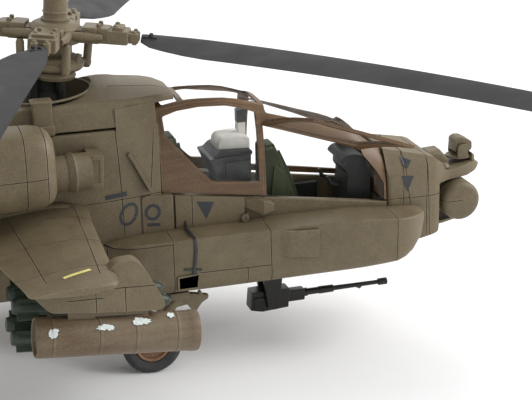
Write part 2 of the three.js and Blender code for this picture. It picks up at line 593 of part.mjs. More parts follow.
function buildSensors() {
  const { x, z, radius, halfWidth } = SENSOR;
  const yoke = join(rod([x, 0, z], [x, 0, 1.475 - GAP], 0.06), rod([x, -0.3, z], [x, 0.3, z], 0.05));
  piece('sensor_yoke', DRAB, yoke);
  const body = rod([x, -halfWidth, z], [x, halfWidth, z], radius, 24);
  const middle = 0.06 + 2 * GAP;
  const slot = sideSlab([[x - 0.4, z - 0.4], [x + 0.12, z - 0.4], [x + 0.12, z - 0.03], [x + 0.36,
    z + 0.21], [x + 0.3, z + 0.4],
    [x - 0.4, z + 0.4]], -middle, middle);
  const bore = rod([x, -0.3 - GAP, z], [x, 0.3 + GAP, z], 0.05 + GAP);
  piece('sensor_drum', DRAB, cut(body, slot, bore));

  const night = NIGHT_SENSOR;
  const ears = [-1, 1].map((s) => box(night.x - 0.07, night.x + 0.07, Math.min(s * 0.12, s * 0.15),
    Math.max(s * 0.12, s * 0.15), 1.65, 1.82));
  piece('night_sensor_base', DRAB, join(rod([night.x, 0, 1.62 + GAP], [night.x, 0, 1.665], 0.15, 20),
    ...ears));
  const head = [[-0.09, -0.06], [0.08, -0.06], [0.13, 0], [0.14, 0.06], [0.02, 0.12], [-0.05, 0.1],
    [-0.1, 0]];
  piece('night_sensor_head', DRAB,
    sideSlab(head.map(([u, v]) => [night.x + u, night.z + v]), -0.12 + GAP, 0.12 - GAP));
}

// ---------------------------------------------------------------- rotors
const rotor = new THREE.Group();
rotor.position.z = ROTOR_HEIGHT;
rotor.rotation.z = ROTOR_AZIMUTH;
helicopter.add(rotor);

function buildRotorHead() {
  const arms = [0, 1, 2, 3].map((k) => {
    const arm = join(
      box(0, 0.5, -0.12, 0.12, -0.09, 0.07),
      box(0.42, 0.78, -0.15, 0.15, -0.07, 0.08),
      box(0.7, BLADE_ROOT - GAP, -0.09, 0.09, -0.05, 0.05),
    );
    return arm.rotateZ((k * Math.PI) / 2);
  });
  const mast = rod([0, 0, -0.72], [0, 0, 0.1], 0.1, 20);
  const plate = rod([0, 0, -0.12], [0, 0, 0.12], 0.27, 20);
  const drum = rod([0, 0, 0.1], [0, 0, 0.42], 0.135, 20);
  piece('rotor_hub', DRAB, join(plate, mast, drum, ...arms), rotor);

  const inner = 0.1 + GAP;
  const ring = turned([[inner, -0.38], [0.3, -0.38], [0.32, -0.34], [0.3, -0.28], [inner, -0.26]],
    24).rotateX(Math.PI / 2);
  const links = [0, 1, 2, 3].map((k) => {
    const angle = (k * Math.PI) / 2 + 0.5;
    const at = (r, z) => [r * Math.cos(angle), r * Math.sin(angle), z];
    return join(rod(at(0.35, -0.36), at(0.38, -0.1), 0.035, 8), rod(at(0.25, -0.33), at(0.36, -0.33),
      0.04, 8));
  });
  piece('swashplate', DRAB, join(ring, ...links), rotor);
}

function buildBlades() {
  const stations = [BLADE_ROOT, 1.35, 1.6, 2.5, 3.5, 4.6, 5.7, 6.75, ROTOR_RADIUS];
  const ring = (r) => {
    const root = THREE.MathUtils.smoothstep(r, BLADE_ROOT, 1.35);
    const sweep = r > 6.8 ? 0.22 : 0;
    const chord = THREE.MathUtils.lerp(0.22, BLADE_CHORD, root) - sweep;
    const thick = THREE.MathUtils.lerp(0.08, 0.055, root);
    const z = -BLADE_DROOP * r * r;
    const front = chord * 0.3;
    const rear = front - chord;
    return [[r, front, z], [r, front * 0.5, z + thick / 2], [r, rear * 0.4, z + thick * 0.35], [r, rear,
      z + 0.006],
      [r, rear, z - 0.006], [r, rear * 0.4, z - thick * 0.3], [r, front * 0.5, z - thick / 2]];
  };
  const blade = loft(stations.map(ring));
  for (let k = 0; k < 4; k++) piece(`main_blade_${k + 1}`, BLADE_GREY, blade,
    rotor).rotation.z = (k * Math.PI) / 2;
}

function buildTailRotor() {
  const { x, y, z, radius, chord } = TAIL_ROTOR;
  const pair = (offset, hubFrom, hubTo) => {
    const blades = [-1, 1].map((way) => {
      const at = (r, half, t) => [[way * r, offset - t, -half], [way * r, offset - t, half], [way * r,
        offset + t, half], [way * r, offset + t, -half]];
      return loft([at(0.05, 0.06, 0.03), at(0.3, chord / 2, 0.022), at(radius, chord / 2, 0.014)]);
    });
    return join(...blades, rod([0, hubFrom, 0], [0, hubTo, 0], 0.09, 16));
  };
  const spin = new THREE.Group();
  spin.position.set(x, y, z);
  level.add(spin);
  const inner = piece('tail_rotor_inner_pair', BLADE_GREY, pair(0.02, -0.07, 0.08), spin);
  inner.rotation.y = THREE.MathUtils.degToRad(20);
  const outer = piece('tail_rotor_outer_pair', BLADE_GREY, pair(0.16, 0.08 + GAP, 0.24), spin);
  outer.rotation.y = THREE.MathUtils.degToRad(75);
}

// ---------------------------------------------------------------- assembly
buildFuselage();
buildNose();
buildCheeks();
buildRotorFairing();
buildTail();
buildStabilator();
buildEngines();
buildWings();
buildPylons();
buildRocketPods();
buildMissiles();
buildCanopy();
buildCockpit();
buildMainGear();
buildTailGear();
buildGun();
buildSensors();
buildRotorHead();
buildBlades();
buildTailRotor();

// The origin is the middle of the footprint, on the ground.
helicopter.updateMatrixWorld(true);
const extent = new THREE.Box3().setFromObject(helicopter, true);
const middle = extent.getCenter(new THREE.Vector3());
helicopter.position.set(-middle.x, -middle.y, -extent.min.z);

export default helicopter;
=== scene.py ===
import json
import math

import bmesh
import bpy
import numpy as np
from mathutils import Matrix, Vector
from mathutils.bvhtree import BVHTree


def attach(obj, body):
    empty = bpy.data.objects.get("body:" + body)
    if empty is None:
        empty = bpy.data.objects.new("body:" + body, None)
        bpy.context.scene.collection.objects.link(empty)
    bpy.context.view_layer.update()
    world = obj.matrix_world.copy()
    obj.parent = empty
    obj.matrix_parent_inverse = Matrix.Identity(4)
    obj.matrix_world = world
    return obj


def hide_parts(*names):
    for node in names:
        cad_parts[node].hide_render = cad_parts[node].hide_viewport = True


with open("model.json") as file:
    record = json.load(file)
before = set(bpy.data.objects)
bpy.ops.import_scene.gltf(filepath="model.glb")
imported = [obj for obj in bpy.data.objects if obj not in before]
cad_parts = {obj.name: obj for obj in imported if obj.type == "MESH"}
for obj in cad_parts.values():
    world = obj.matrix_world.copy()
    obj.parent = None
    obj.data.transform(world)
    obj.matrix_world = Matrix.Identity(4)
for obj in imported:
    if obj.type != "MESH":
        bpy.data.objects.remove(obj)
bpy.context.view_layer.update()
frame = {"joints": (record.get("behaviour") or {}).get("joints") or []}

SCALE = 1 / 72
ROTOR_HEIGHT = 3.565
MAST = next(Vector(j["pos_m"]) for j in frame["joints"] if j["name"] == "main_rotor_spin")
GROUND = MAST - Vector((0, 0, ROTOR_HEIGHT * SCALE))
PIVOT = Vector((0, 0, 2))
NOSE_UP = math.radians(5)
ROTOR_TURN = math.radians(-19.6)
UPRIGHT = Matrix.Translation(GROUND) @ Matrix.Scale(SCALE, 4)
LEVEL = UPRIGHT @ Matrix.Translation(PIVOT) @ Matrix.Rotation(-NOSE_UP, 4, "Y") @ Matrix.Translation(-PIVOT)
ROTOR = UPRIGHT @ Matrix.Translation((0, 0, ROTOR_HEIGHT)) @ Matrix.Rotation(ROTOR_TURN, 4, "Z")
# Clearance, then where the engines, the outer and the inner stores hang, and how far the stores tip.
GAP = 0.022
ENGINE_Y = 1.07
OUTER_STATION = 2.344
INNER_STATION = 1.62
STORE_TILT = math.radians(5.6)
# The sight's drum under the nose: its axis, radius and half length.
SIGHT_X, SIGHT_Z, SIGHT_RADIUS, SIGHT_HALF = 4.76, 1.205, 0.235, 0.42
# The tail rotor's centre, and the height and fore-and-aft place of its gearbox.
TAIL_HUB = (-8.91, 0.42, 3.62)
SIDES = (("right", -1), ("left", 1))


# ------------------------------------------------------------------ mesh helpers
def solid(verts, faces):
    """An object from vertices and faces, normals outwards, still in full-size metres."""
    mesh = bpy.data.meshes.new("part")
    mesh.from_pydata([tuple(v) for v in verts], [], faces)
    bm = bmesh.new()
    bm.from_mesh(mesh)
    bmesh.ops.recalc_face_normals(bm, faces=bm.faces)
    bm.to_mesh(mesh)
    bm.free()
    obj = bpy.data.objects.new("part", mesh)
    bpy.context.scene.collection.objects.link(obj)
    return obj


def apply(obj):
    graph = bpy.context.evaluated_depsgraph_get()
    mesh = bpy.data.meshes.new_from_object(obj.evaluated_get(graph))
    obj.modifiers.clear()
    old, obj.data = obj.data, mesh
    bpy.data.meshes.remove(old)
    return obj


def boolean(obj, operation, others):
    for other in others:
        step = obj.modifiers.new("step", "BOOLEAN")
        step.operation, step.solver, step.object = operation, "MANIFOLD", other
        apply(obj)
        bpy.data.objects.remove(other)
    return obj


def cut(obj, *tools):
    return boolean(obj, "DIFFERENCE", tools)


def union(obj, *more):
    return boolean(obj, "UNION", more)


def common(obj, *more):
    return boolean(obj, "INTERSECT", more)


def gather(*parts):
    """Several shells as one object."""
    bm = bmesh.new()
    for part in parts:
        bm.from_mesh(part.data)
    keep = parts[0]
    bm.to_mesh(keep.data)
    bm.free()
    for part in parts[1:]:
        bpy.data.objects.remove(part)
    return keep


def copy(obj):
    twin = obj.copy()
    twin.data = obj.data.copy()
    bpy.context.scene.collection.objects.link(twin)
    return twin


def shift(to):
    return Matrix.Translation(to)


def moved(obj, matrix):
    obj.data.transform(matrix)
    if matrix.determinant() < 0:
        obj.data.flip_normals()
    return obj


def bevel(obj, width, segments=2, angle=35):
    step = obj.modifiers.new("step", "BEVEL")
    step.width, step.segments, step.limit_method = width, segments, "ANGLE"
    step.angle_limit = math.radians(angle)
    step.miter_outer = "MITER_ARC"
    return apply(obj)


PLANES = {"x": lambda u, v, w: (w, u, v), "y": lambda u, v, w: (u, w, v), "z": lambda u, v, w: (u, v, w)}


def prism(outline, axis, low, high):
    """A slab: the outline is [y, z], [x, z] or [x, y] for axis x, y or z."""
    n, low, high = len(outline), min(low, high), max(low, high)
    verts = [PLANES[axis](u, v, w) for w in (low, high) for u, v in outline]
    faces = [list(range(n)), list(range(n, 2 * n))]
    return solid(verts, faces + [[i, (i + 1) % n, n + (i + 1) % n, n + i] for i in range(n)])


def block(x, y, z, edge=0.0, segments=2):
    """A box between pairs of limits, its edges rounded by edge."""
    obj = prism([(x[0], z[0]), (x[1], z[0]), (x[1], z[1]), (x[0], z[1])], "y", *y)
    return bevel(obj, edge, segments) if edge else obj


def rounded(points, radius, steps=4):
    """The outline with each corner rounded by its radius."""
    radii = radius if isinstance(radius, (list, tuple)) else [radius] * len(points)
    out = []
    for i, r in enumerate(radii):
        p, a, b = (Vector(points[k % len(points)]) for k in (i, i - 1, i + 1))
        a, b = a - p, b - p
        r = min(r, a.length * 0.47, b.length * 0.47)
        if r <= 0:
            out.append(tuple(p))
            continue
        start, end = a.normalized() * r, b.normalized() * r
        for k in range(steps + 1):
            t = k / steps
            out.append(tuple(p + start * (1 - t) ** 2 + end * t * t))
    return out


def both(half):
    """A closed outline from its +Y half, [y, z]."""
    return [*half, *[(-y, z) for y, z in reversed(half)]]


def ease(xs, ys, at):
    """Values through the given ones without overshoot (monotone cubic)."""
    xs, ys = np.asarray(xs, float), np.asarray(ys, float)
    h, d = np.diff(xs), np.diff(ys, axis=0)
    slope = d / h.reshape(-1, *([1] * (ys.ndim - 1)))
    m = np.zeros_like(ys)
    m[0], m[-1] = slope[0], slope[-1]
    for i in range(1, len(xs) - 1):
        a, b = slope[i - 1], slope[i]
        same = a * b > 0
        m[i] = np.where(same, 2 * a * b / np.where(same, a + b, 1), 0)
    i = np.clip(np.searchsorted(xs, at) - 1, 0, len(xs) - 2)
    t = (at - xs[i]) / h[i]
    return ((1 + 2 * t) * (1 - t) ** 2 * ys[i] + t * (1 - t) ** 2 * h[i] * m[i]
            + t * t * (3 - 2 * t) * ys[i + 1] + t * t * (t - 1) * h[i] * m[i + 1])


def between(xs, step):
    """Positions along the stations, about step apart, that keep every station."""
    out = [xs[0]]
    for a, b in zip(xs, xs[1:]):
        n = max(1, round(abs(b - a) / step))
        out += [a + (b - a) * k / n for k in range(1, n + 1)]
    return out


def loft(rings, round_start=0.0, round_end=0.0):
    """A closed body through rings of 3D points, its end edges rounded."""
    rings = [np.asarray(r, float) for r in rings]

    def rim(ring, out, r):
        middle = ring.mean(0)
        away = ring - middle
        away /= np.linalg.norm(away, axis=1, keepdims=True)
        return [ring - away * r * (1 - math.cos(t)) + out * r * math.sin(t)
                for t in np.radians([30, 60, 85])]

    if round_start:
        out = rings[0].mean(0) - rings[1].mean(0)
        rings = rim(rings[0], out / np.linalg.norm(out), round_start)[::-1] + rings
    if round_end:
        out = rings[-1].mean(0) - rings[-2].mean(0)
        rings = rings + rim(rings[-1], out / np.linalg.norm(out), round_end)
    n, verts, faces = len(rings[0]), np.concatenate(rings), []
    for i in range(len(rings) - 1):
        for j in range(n):
            a, b = i * n + j, i * n + (j + 1) % n
            faces.append([a, b, b + n, a + n])
    faces += [list(range(n)), list(range(len(verts) - n, len(verts)))]
    return solid(verts, faces)


def body_loft(table, radii, step=0.12, ends=(0.0, 0.0), steps=4):
    """A body along X. The table's rows are (x, half outline), and radii round the outline's corners."""
    xs = [row[0] for row in table]
    halves = np.array([row[1] for row in table], float)
    full = list(radii) + list(reversed(radii))
    rings = []
    for x in between(xs, step):
        outline = rounded(both([tuple(p) for p in ease(xs, halves, x)]), full, steps)
        rings.append([(x, y, z) for y, z in outline])
    return loft(rings, *ends)


def box_ring(x, y, z, r, steps=6):
    """A rounded rectangle across X, with y and z as pairs of limits."""
    corners = [(y[1], z[0]), (y[1], z[1]), (y[0], z[1]), (y[0], z[0])]
    return [(x, u, v) for u, v in rounded(corners, r, steps)]


def tube(points, radius, sides=16, round_end=0.0):
    """A round bar along a line of points; radius is a number or one for each point."""
    points = [Vector(p) for p in points]
    radii = radius if isinstance(radius, (list, tuple)) else [radius] * len(points)
    rings = []
    side = None
    for i, (p, r) in enumerate(zip(points, radii)):
        way = (points[min(i + 1, len(points) - 1)] - points[max(i - 1, 0)]).normalized()
        side = way.orthogonal().normalized() if side is None else (side - way * side.dot(way)).normalized()
        other = way.cross(side)
        rings.append([p + (side * math.cos(t) + other * math.sin(t)) * r
                      for t in (2 * math.pi * k / sides for k in range(sides))])
    return loft(rings, round_end, round_end)


def turned(profile, sides=48, axis="y"):
    """A closed profile of [radius, height] turned about an axis through the origin."""
    n, verts = len(profile), []
    for k in range(sides):
        a = 2 * math.pi * k / sides
        c, s = math.cos(a), math.sin(a)
        for r, h in profile:
            verts.append({"x": (h, r * c, r * s), "y": (r * c, h, r * s), "z": (r * c, r * s, h)}[axis])
    faces = [[k * n + i, k * n + (i + 1) % n, (k + 1) % sides * n + (i + 1) % n, (k + 1) % sides * n + i]
             for k in range(sides) for i in range(n)
             if not (profile[i][0] < 1e-6 and profile[(i + 1) % n][0] < 1e-6)]
    obj = solid(verts, faces)
    bm = bmesh.new()
    bm.from_mesh(obj.data)
    bmesh.ops.remove_doubles(bm, verts=bm.verts, dist=1e-5)
    bmesh.ops.recalc_face_normals(bm, faces=bm.faces)
    bm.to_mesh(obj.data)
    bm.free()
    return obj


def ribbon(line, width):
    """The outline of a line with a width."""
    points = [Vector(p) for p in line]
    sides = []
    for i, p in enumerate(points):
        way = (points[min(i + 1, len(points) - 1)] - points[max(i - 1, 0)]).normalized()
        off = Vector((-way.y, way.x)) * width / 2
        sides.append((p + off, p - off))
    return [tuple(a) for a, _ in sides] + [tuple(b) for _, b in reversed(sides)]


def engrave(obj, *groups, depth=0.012, width=0.009, reach=(-4, 4)):
    """Cuts panel lines into the surface. Each group is (axis, lines), and its lines don't cross each
    other. reach limits the lines along that axis. The cut faces take the second material."""
    before = copy(obj)
    tree = BVHTree.FromObject(before, bpy.context.evaluated_depsgraph_get())
    for axis, lines in groups:
        inner = copy(before)
        bm = bmesh.new()
        bm.from_mesh(inner.data)
        bm.normal_update()
        for v, n in [(v, v.normal * depth * min(v.calc_shell_factor(), 1.6)) for v in bm.verts]:
            v.co -= n
        bm.to_mesh(inner.data)
        bm.free()
        strips = gather(*[prism(ribbon(line, width), axis, *reach) for line in lines])
        cut(obj, cut(strips, inner))
    bpy.data.objects.remove(before)
    while len(obj.data.materials) < 2:
        obj.data.materials.append(None)
    for face in obj.data.polygons:
        hit = tree.find_nearest(face.center)
        face.material_index = int(hit[3] is not None and hit[3] > 0.25 * depth)
    return obj


def piece(obj, name, body, slot, *materials, replaces=(), place=LEVEL, angle=32):
    """Finishes an object: into the model's frame, shaded, riding on its body."""
    obj.name = obj.data.name = name
    moved(obj, place)
    for i, material in enumerate(materials):
        if i < len(obj.data.materials):
            obj.data.materials[i] = material
        else:
            obj.data.materials.append(material)
    obj.data.shade_smooth()
    obj.data.set_sharp_from_angle(angle=math.radians(angle))
    weigh = obj.modifiers.new("weigh", "WEIGHTED_NORMAL")
    weigh.keep_sharp = True
    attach(obj, body)
    if replaces:
        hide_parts(*replaces)
    return obj


# ------------------------------------------------------------------ materials
class Graph:
    """A short way to write a node tree."""

    def __init__(self, name):
        self.material = bpy.data.materials.new(name)
        self.material.use_nodes = True
        self.tree = self.material.node_tree
        self.shader = self.tree.nodes["Principled BSDF"]

    def add(self, kind, inputs=None, **settings):
        node = self.tree.nodes.new(kind)
        for key, value in settings.items():
            setattr(node, key, value)
        for key, value in (inputs or {}).items():
            self.set(node.inputs[key], value)
        return node

    def set(self, socket, value):
        if isinstance(value, bpy.types.NodeSocket):
            self.tree.links.new(value, socket)
        else:
            socket.default_value = value

    def place(self):
        """Points of the airframe's level frame in full-size metres."""
        coords = self.add("ShaderNodeTexCoord").outputs["Object"]
        turn = Matrix.Rotation(NOSE_UP, 4, "Y")
        origin = turn @ (-GROUND / SCALE - PIVOT) + PIVOT
        return self.add("ShaderNodeMapping", {"Vector": coords, "Location": origin,
                                              "Rotation": (0, NOSE_UP, 0),
                                              "Scale": (1 / SCALE,) * 3}).outputs["Vector"]

    def noise(self, at, scale, detail=3.0, rough=0.55, stretch=None):
        if stretch:
            at = self.add("ShaderNodeMapping", {"Vector": at, "Scale": stretch}).outputs["Vector"]
        return self.add("ShaderNodeTexNoise", {"Vector": at, "Scale": scale, "Detail": detail,
                                               "Roughness": rough}).outputs["Fac"]

    def ramp(self, value, low, high, to=(0.0, 1.0)):
        return self.add("ShaderNodeMapRange", {"Value": value, "From Min": low, "From Max": high,
                                               "To Min": to[0], "To Max": to[1]}).outputs["Result"]

    def math(self, operation, a, b=0.0):
        return self.add("ShaderNodeMath", {0: a, 1: b}, operation=operation).outputs[0]

    def mix(self, factor, a, b, blend="MIX"):
        node = self.add("ShaderNodeMix", data_type="RGBA", blend_type=blend)
        for index, value in ((0, factor), (6, a), (7, b)):
            self.set(node.inputs[index], value)
        return node.outputs[2]

    def edges(self, radius):
        """0 on flat areas, rising to 1 on sharp edges."""
        soft = self.add("ShaderNodeBevel", {"Radius": radius}, samples=6).outputs[0]
        true = self.add("ShaderNodeNewGeometry").outputs["Normal"]
        dot = self.add("ShaderNodeVectorMath", {0: soft, 1: true},
                       operation="DOT_PRODUCT").outputs["Value"]
        return self.ramp(dot, 0.995, 0.86)

    def painted_corner_shade(self, distance):
        """Painted shade: 0 on open areas, rising to 1 in corners, from ambient occlusion."""
        open_share = self.add("ShaderNodeAmbientOcclusion", {"Distance": distance},
                              samples=6).outputs["AO"]
        return self.ramp(open_share, 0.8, 0.25)

    def bump(self, height, distance, strength=1.0):
        node = self.add("ShaderNodeBump", {"Height": height, "Distance": distance, "Strength": strength})
        self.set(self.shader.inputs["Normal"], node.outputs["Normal"])


def tone(red, green, blue):
    """A linear colour from 0-255 screen values."""
    def one(v):
        v /= 255
        return v / 12.92 if v < 0.04045 else ((v + 0.055) / 1.055) ** 2.4
    return (one(red), one(green), one(blue), 1.0)


def sprayed(name, dark, light, worn, speckle_and_shade, rough=0.5, grain=1.0, wear=0.6, streaks=None, chips=None):
    """Matt model paint: soft mottling, fine speckle, light worn edges and painted shade darkening the
    corners.
    """
    g = Graph(name)
    at = g.place()
    broad = g.noise(at, 1.1, 3)
    middle = g.noise(at, 6, 4, stretch=streaks)
    fine = g.noise(at, 85, 2, 0.6)
    blend = g.ramp(g.math("ADD", g.math("MULTIPLY", broad, 0.55), g.math("MULTIPLY", middle, 0.45)), 0.36,
                   0.64)
    color = g.mix(blend, dark, light)
    color = g.mix(g.math("MULTIPLY", g.ramp(fine, 0.48, 0.75), 0.3 * grain), color, worn)
    color = g.mix(g.math("MULTIPLY", g.ramp(fine, 0.48, 0.25), 0.3 * grain), color, speckle_and_shade)
    # Painted shade: the colour moves to the dark tone where ambient occlusion finds corners, varied by the
    # middle noise.
    corner_shade_mask = g.math("MULTIPLY", g.painted_corner_shade(0.0011), g.ramp(middle, 0.3, 0.7, (0.45, 0.85)))
    color = g.mix(corner_shade_mask, color, speckle_and_shade)
    color = g.mix(g.math("MULTIPLY", g.edges(0.00022), g.ramp(middle, 0.35, 0.65, (0.35 * wear, wear))),
                  color, worn)
    if chips:
        speck = g.noise(at, 30, 3, 0.7)
        color = g.mix(g.ramp(speck, 0.7, 0.72), color, chips)
    g.set(g.shader.inputs["Base Color"], color)
    g.set(g.shader.inputs["Roughness"], g.ramp(middle, 0.3, 0.7, (rough - 0.06, rough + 0.08)))
    g.shader.inputs["Specular IOR Level"].default_value = 0.4
    height = g.math("ADD", g.math("MULTIPLY", fine, 0.6), g.math("MULTIPLY", middle, 0.5))
    g.bump(height, 0.00005, 0.35)
    return g.material


def plain(name, color, rough, other=None, scale=20.0, metal=0.0, bump=0.00003):
    """A smaller finish: two close tones mixed by noise."""
    g = Graph(name)
    at = g.place()
    n = g.noise(at, scale, 4)
    g.set(g.shader.inputs["Base Color"], g.mix(g.ramp(n, 0.35, 0.65), color,
                                               other or tuple(c * 0.75 for c in color[:3]) + (1.0,)))
    g.set(g.shader.inputs["Roughness"], g.ramp(n, 0.3, 0.7, (rough - 0.05, rough + 0.07)))
    g.shader.inputs["Metallic"].default_value = metal
    g.bump(n, bump, 0.4)
    return g.material


def clear(name):
    """Thin clear styrene: see-through, a little hazy where it was glued and polished."""
    g = Graph(name)
    at = g.place()
    haze = g.noise(at, 3.2, 3)
    scratch = g.noise(at, 9, 3, 0.7, stretch=(1, 6, 5))
    g.set(g.shader.inputs["Base Color"], g.mix(g.ramp(scratch, 0.5, 0.8), (0.86, 0.88, 0.87, 1),
                                               (0.97, 0.97, 0.96, 1)))
    cover = g.math("ADD", g.ramp(haze, 0.45, 0.75, (0.012, 0.05)),
                   g.ramp(scratch, 0.62, 0.78, (0.0, 0.08)))
    g.set(g.shader.inputs["Alpha"], cover)
    g.set(g.shader.inputs["Roughness"], g.ramp(haze, 0.3, 0.7, (0.08, 0.2)))
    g.shader.inputs["Specular IOR Level"].default_value = 0.6
    return g.material


# The drab's dark tone is used both for fine speckle and for painted shade in the corners.
DRAB_SPECKLE_AND_SHADE = tone(50, 43, 31)
DRAB = sprayed("drab", tone(97, 85, 63), tone(113, 101, 77), tone(152, 141, 118), DRAB_SPECKLE_AND_SHADE)
LINE = plain("panel_line", tone(66, 57, 43), 0.8)
BROWN = sprayed("brown_frame", tone(84, 62, 40), tone(112, 86, 60), tone(150, 124, 98), tone(50, 37, 24),
                rough=0.42, streaks=(0.35, 4, 3), chips=tone(150, 126, 104))
POD_BROWN = sprayed("pod_brown", tone(92, 73, 53), tone(115, 102, 82), tone(148, 136, 114),
                    tone(62, 42, 30), streaks=(0.4, 3, 2))
MISSILE_GREEN = sprayed("missile_green", tone(34, 46, 38), tone(58, 70, 58), tone(96, 106, 92),
                        tone(20, 26, 22), rough=0.4)
BLADE = sprayed("blade_grey", tone(22, 21, 23), tone(29, 28, 30), tone(52, 51, 52), tone(16, 15, 17),
                rough=0.66, grain=0.25, wear=0.15, streaks=(0.3, 0.3, 3))
GUN_BLACK = sprayed("gun_black", tone(17, 16, 14), tone(25, 23, 20), tone(72, 68, 62), tone(8, 8, 7),
                    rough=0.36, grain=0.3, wear=0.35)
TYRE = plain("tyre_rubber", tone(44, 43, 44), 0.75, tone(60, 58, 57), 14)
RUST = sprayed("wheel_rust", tone(96, 66, 46), tone(134, 98, 72), tone(170, 140, 110), tone(50, 34, 26))
SEAT = sprayed("seat_green", tone(48, 56, 38), tone(66, 74, 50), tone(110, 112, 84), tone(24, 28, 20),
               rough=0.7, chips=tone(104, 84, 62))
COCKPIT = sprayed("cockpit_grey", tone(26, 29, 27), tone(38, 41, 38), tone(70, 74, 70), tone(10, 11, 10),
                  rough=0.5, wear=0.4)
PALE = plain("pale_grey", tone(226, 224, 216), 0.6, tone(200, 198, 190), 5)
# Near black painted shade for the insides of openings: the mast well and the engine intakes.
HOLLOW_SHADE = plain("painted_hollow_shade", tone(20, 19, 17), 0.85)
DECAL = plain("slate_marking", tone(38, 40, 46), 0.5, tone(52, 54, 58), 30)
YELLOW = plain("yellow_marking", tone(214, 200, 110), 0.5, tone(226, 216, 140), 12)
CHIP = plain("bare_chip", tone(222, 228, 224), 0.55, tone(196, 206, 204), 12)
LENS = plain("sensor_glass", tone(24, 26, 34), 0.08, tone(34, 36, 46), 4)
CLEAR = clear("clear_plastic")
PLAIN_DRAB = ("airframe", "drab_paint", DRAB)
LINED = (*PLAIN_DRAB, LINE)
COCKPIT_GREY = ("airframe", "cockpit_grey", COCKPIT)


# ------------------------------------------------------------------ fuselage, nose and cheeks
DECK = 2.58
SEAM = [(0.586, 2.95), (0.63, 2.24), (0.65, 1.83), (0.66, 1.3)]
SILL = [(1.12, 1.77), (2.28, 1.6), (3.19, 1.46), (3.76, 1.37)]


def height_at(line, x):
    return float(np.interp(x, [p[0] for p in line], [p[1] for p in line]))


def make_fuselage():
    def section(low, top, belly, side, shoulder, deck):
        return [(belly, low), (side, low + 0.14), (side, shoulder), (deck, top)]

    hull = body_loft([(-4.19, section(1.42, 2.5, 0.24, 0.38, 2.25, 0.3)),
                      (-3.5, section(1.0, 2.57, 0.32, 0.48, 2.3, 0.4)),
                      (-2.9, section(0.74, DECK, 0.4, 0.56, 2.35, 0.5)),
                      (-1.0, section(0.7, DECK, 0.44, 0.6, 2.45, 0.575)),
                      (0.6, section(0.7, DECK, 0.46, 0.62, 2.45, 0.605)),
                      (1.1, section(0.7, DECK, 0.46, 0.54, 2.3, 0.5))], (0.12, 0.12, 0.2, 0.035))
    step = bevel(prism([(0.7, 0.72), (1.225, 0.72), (1.225, 1.775), (0.7, 1.8)], "y", -0.585, 0.585),
                 0.025)
    front = body_loft([(1.0, [(0.44, 0.7), (0.54, 0.84), (0.535, 1.78)]),
                       (2.28, [(0.44, 0.7), (0.51, 0.84), (0.5, 1.59)]),
                       (3.19, [(0.44, 0.7), (0.5, 0.84), (0.5, 1.45)]),
                       (3.765, [(0.43, 0.72), (0.49, 0.84), (0.495, 1.36)])],
                      (0.1, 0.1, 0.02), step=0.2)
    hull = union(hull, step, front)
    for x, z in (((1.2, 2.24), (1.2, 2.3)), ((2.36, 3.69), (1.0, 2.3))):
        cut(hull, block(x, (-0.43, 0.43), z))
    engrave(hull, ("y", [SEAM, [(-2.9, 2.7), (-2.86, 0.6)], [(-1.45, 2.7), (-1.42, 0.6)],
                         [(-3.55, 2.7), (-3.5, 0.9)], [(0.1, 1.36), (0.1, 1.74)],
                         [(0.98, 1.84), (1.06, 2.7)]]),
            ("y", [[(-1.6, 1.79), (0.2, 1.785), (0.51, 1.79), (0.62, 1.8), (1.2, 1.81)],
                   [(-3.9, 2.1), (-1.6, 2.02)]]),
            ("z", [[(-3.0, -0.7), (-3.0, 0.7)], [(-1.5, -0.7), (-1.5, 0.7)], [(0.2, -0.46), (0.2, 0.46)],
                   [(1.9, -0.46), (1.9, 0.46)]]),
            ("z", [[(-3.0, 0.2), (0.2, 0.2)], [(-3.0, -0.2), (0.2, -0.2)], [(0.6, 0.0), (1.9, 0.0)]]))
    piece(hull, "hull", *LINED, replaces=["fuselage"])

    for side, sign in SIDES:
        panel = bevel(prism([(1.245, 1.36), (2.04, 1.352), (2.04, 1.632), (1.245, 1.752)], "y",
                            sign * 0.5, sign * 0.562), 0.012)
        engrave(panel, ("y", [[(1.437, 1.3), (1.437, 1.8)]]))
        piece(panel, f"side_panel_{side}", *LINED)
        fairing = loft([[(x, sign * y, z)
                         for y, z in rounded([(0.48, low), (out, low), (out, top), (0.48, top)], 0.018)]
                        for x, out, low, top in ((2.045, 0.53, 1.5, 1.6), (2.16, 0.585, 1.45, 1.615),
                                                 (2.24, 0.64, 1.425, 1.605), (2.35, 0.64, 1.455, 1.555))],
                       round_end=0.015)
        bolt = moved(turned([(0, 0), (0.05, 0), (0.05, 0.05), (0.038, 0.064), (0.022, 0.064),
                             (0.016, 0.05), (0, 0.05)], 24), shift((2.035, sign * 0.54, 1.4))
                     @ Matrix.Scale(sign, 4, (0, 1, 0)))
        foot = block((1.99, 2.09), (sign * 0.5, sign * 0.56), (1.35, 1.45), 0.02)
        piece(gather(fairing, bolt, foot), f"side_fairing_{side}", *PLAIN_DRAB)
        strake = bevel(prism(ribbon([(0.735, 2.31), (0.8, 2.2), (0.93, 1.93), (0.975, 1.85)], 0.034), "y",
                             sign * 0.54, sign * 0.655), 0.008)
        piece(strake, f"side_strake_{side}", *PLAIN_DRAB)


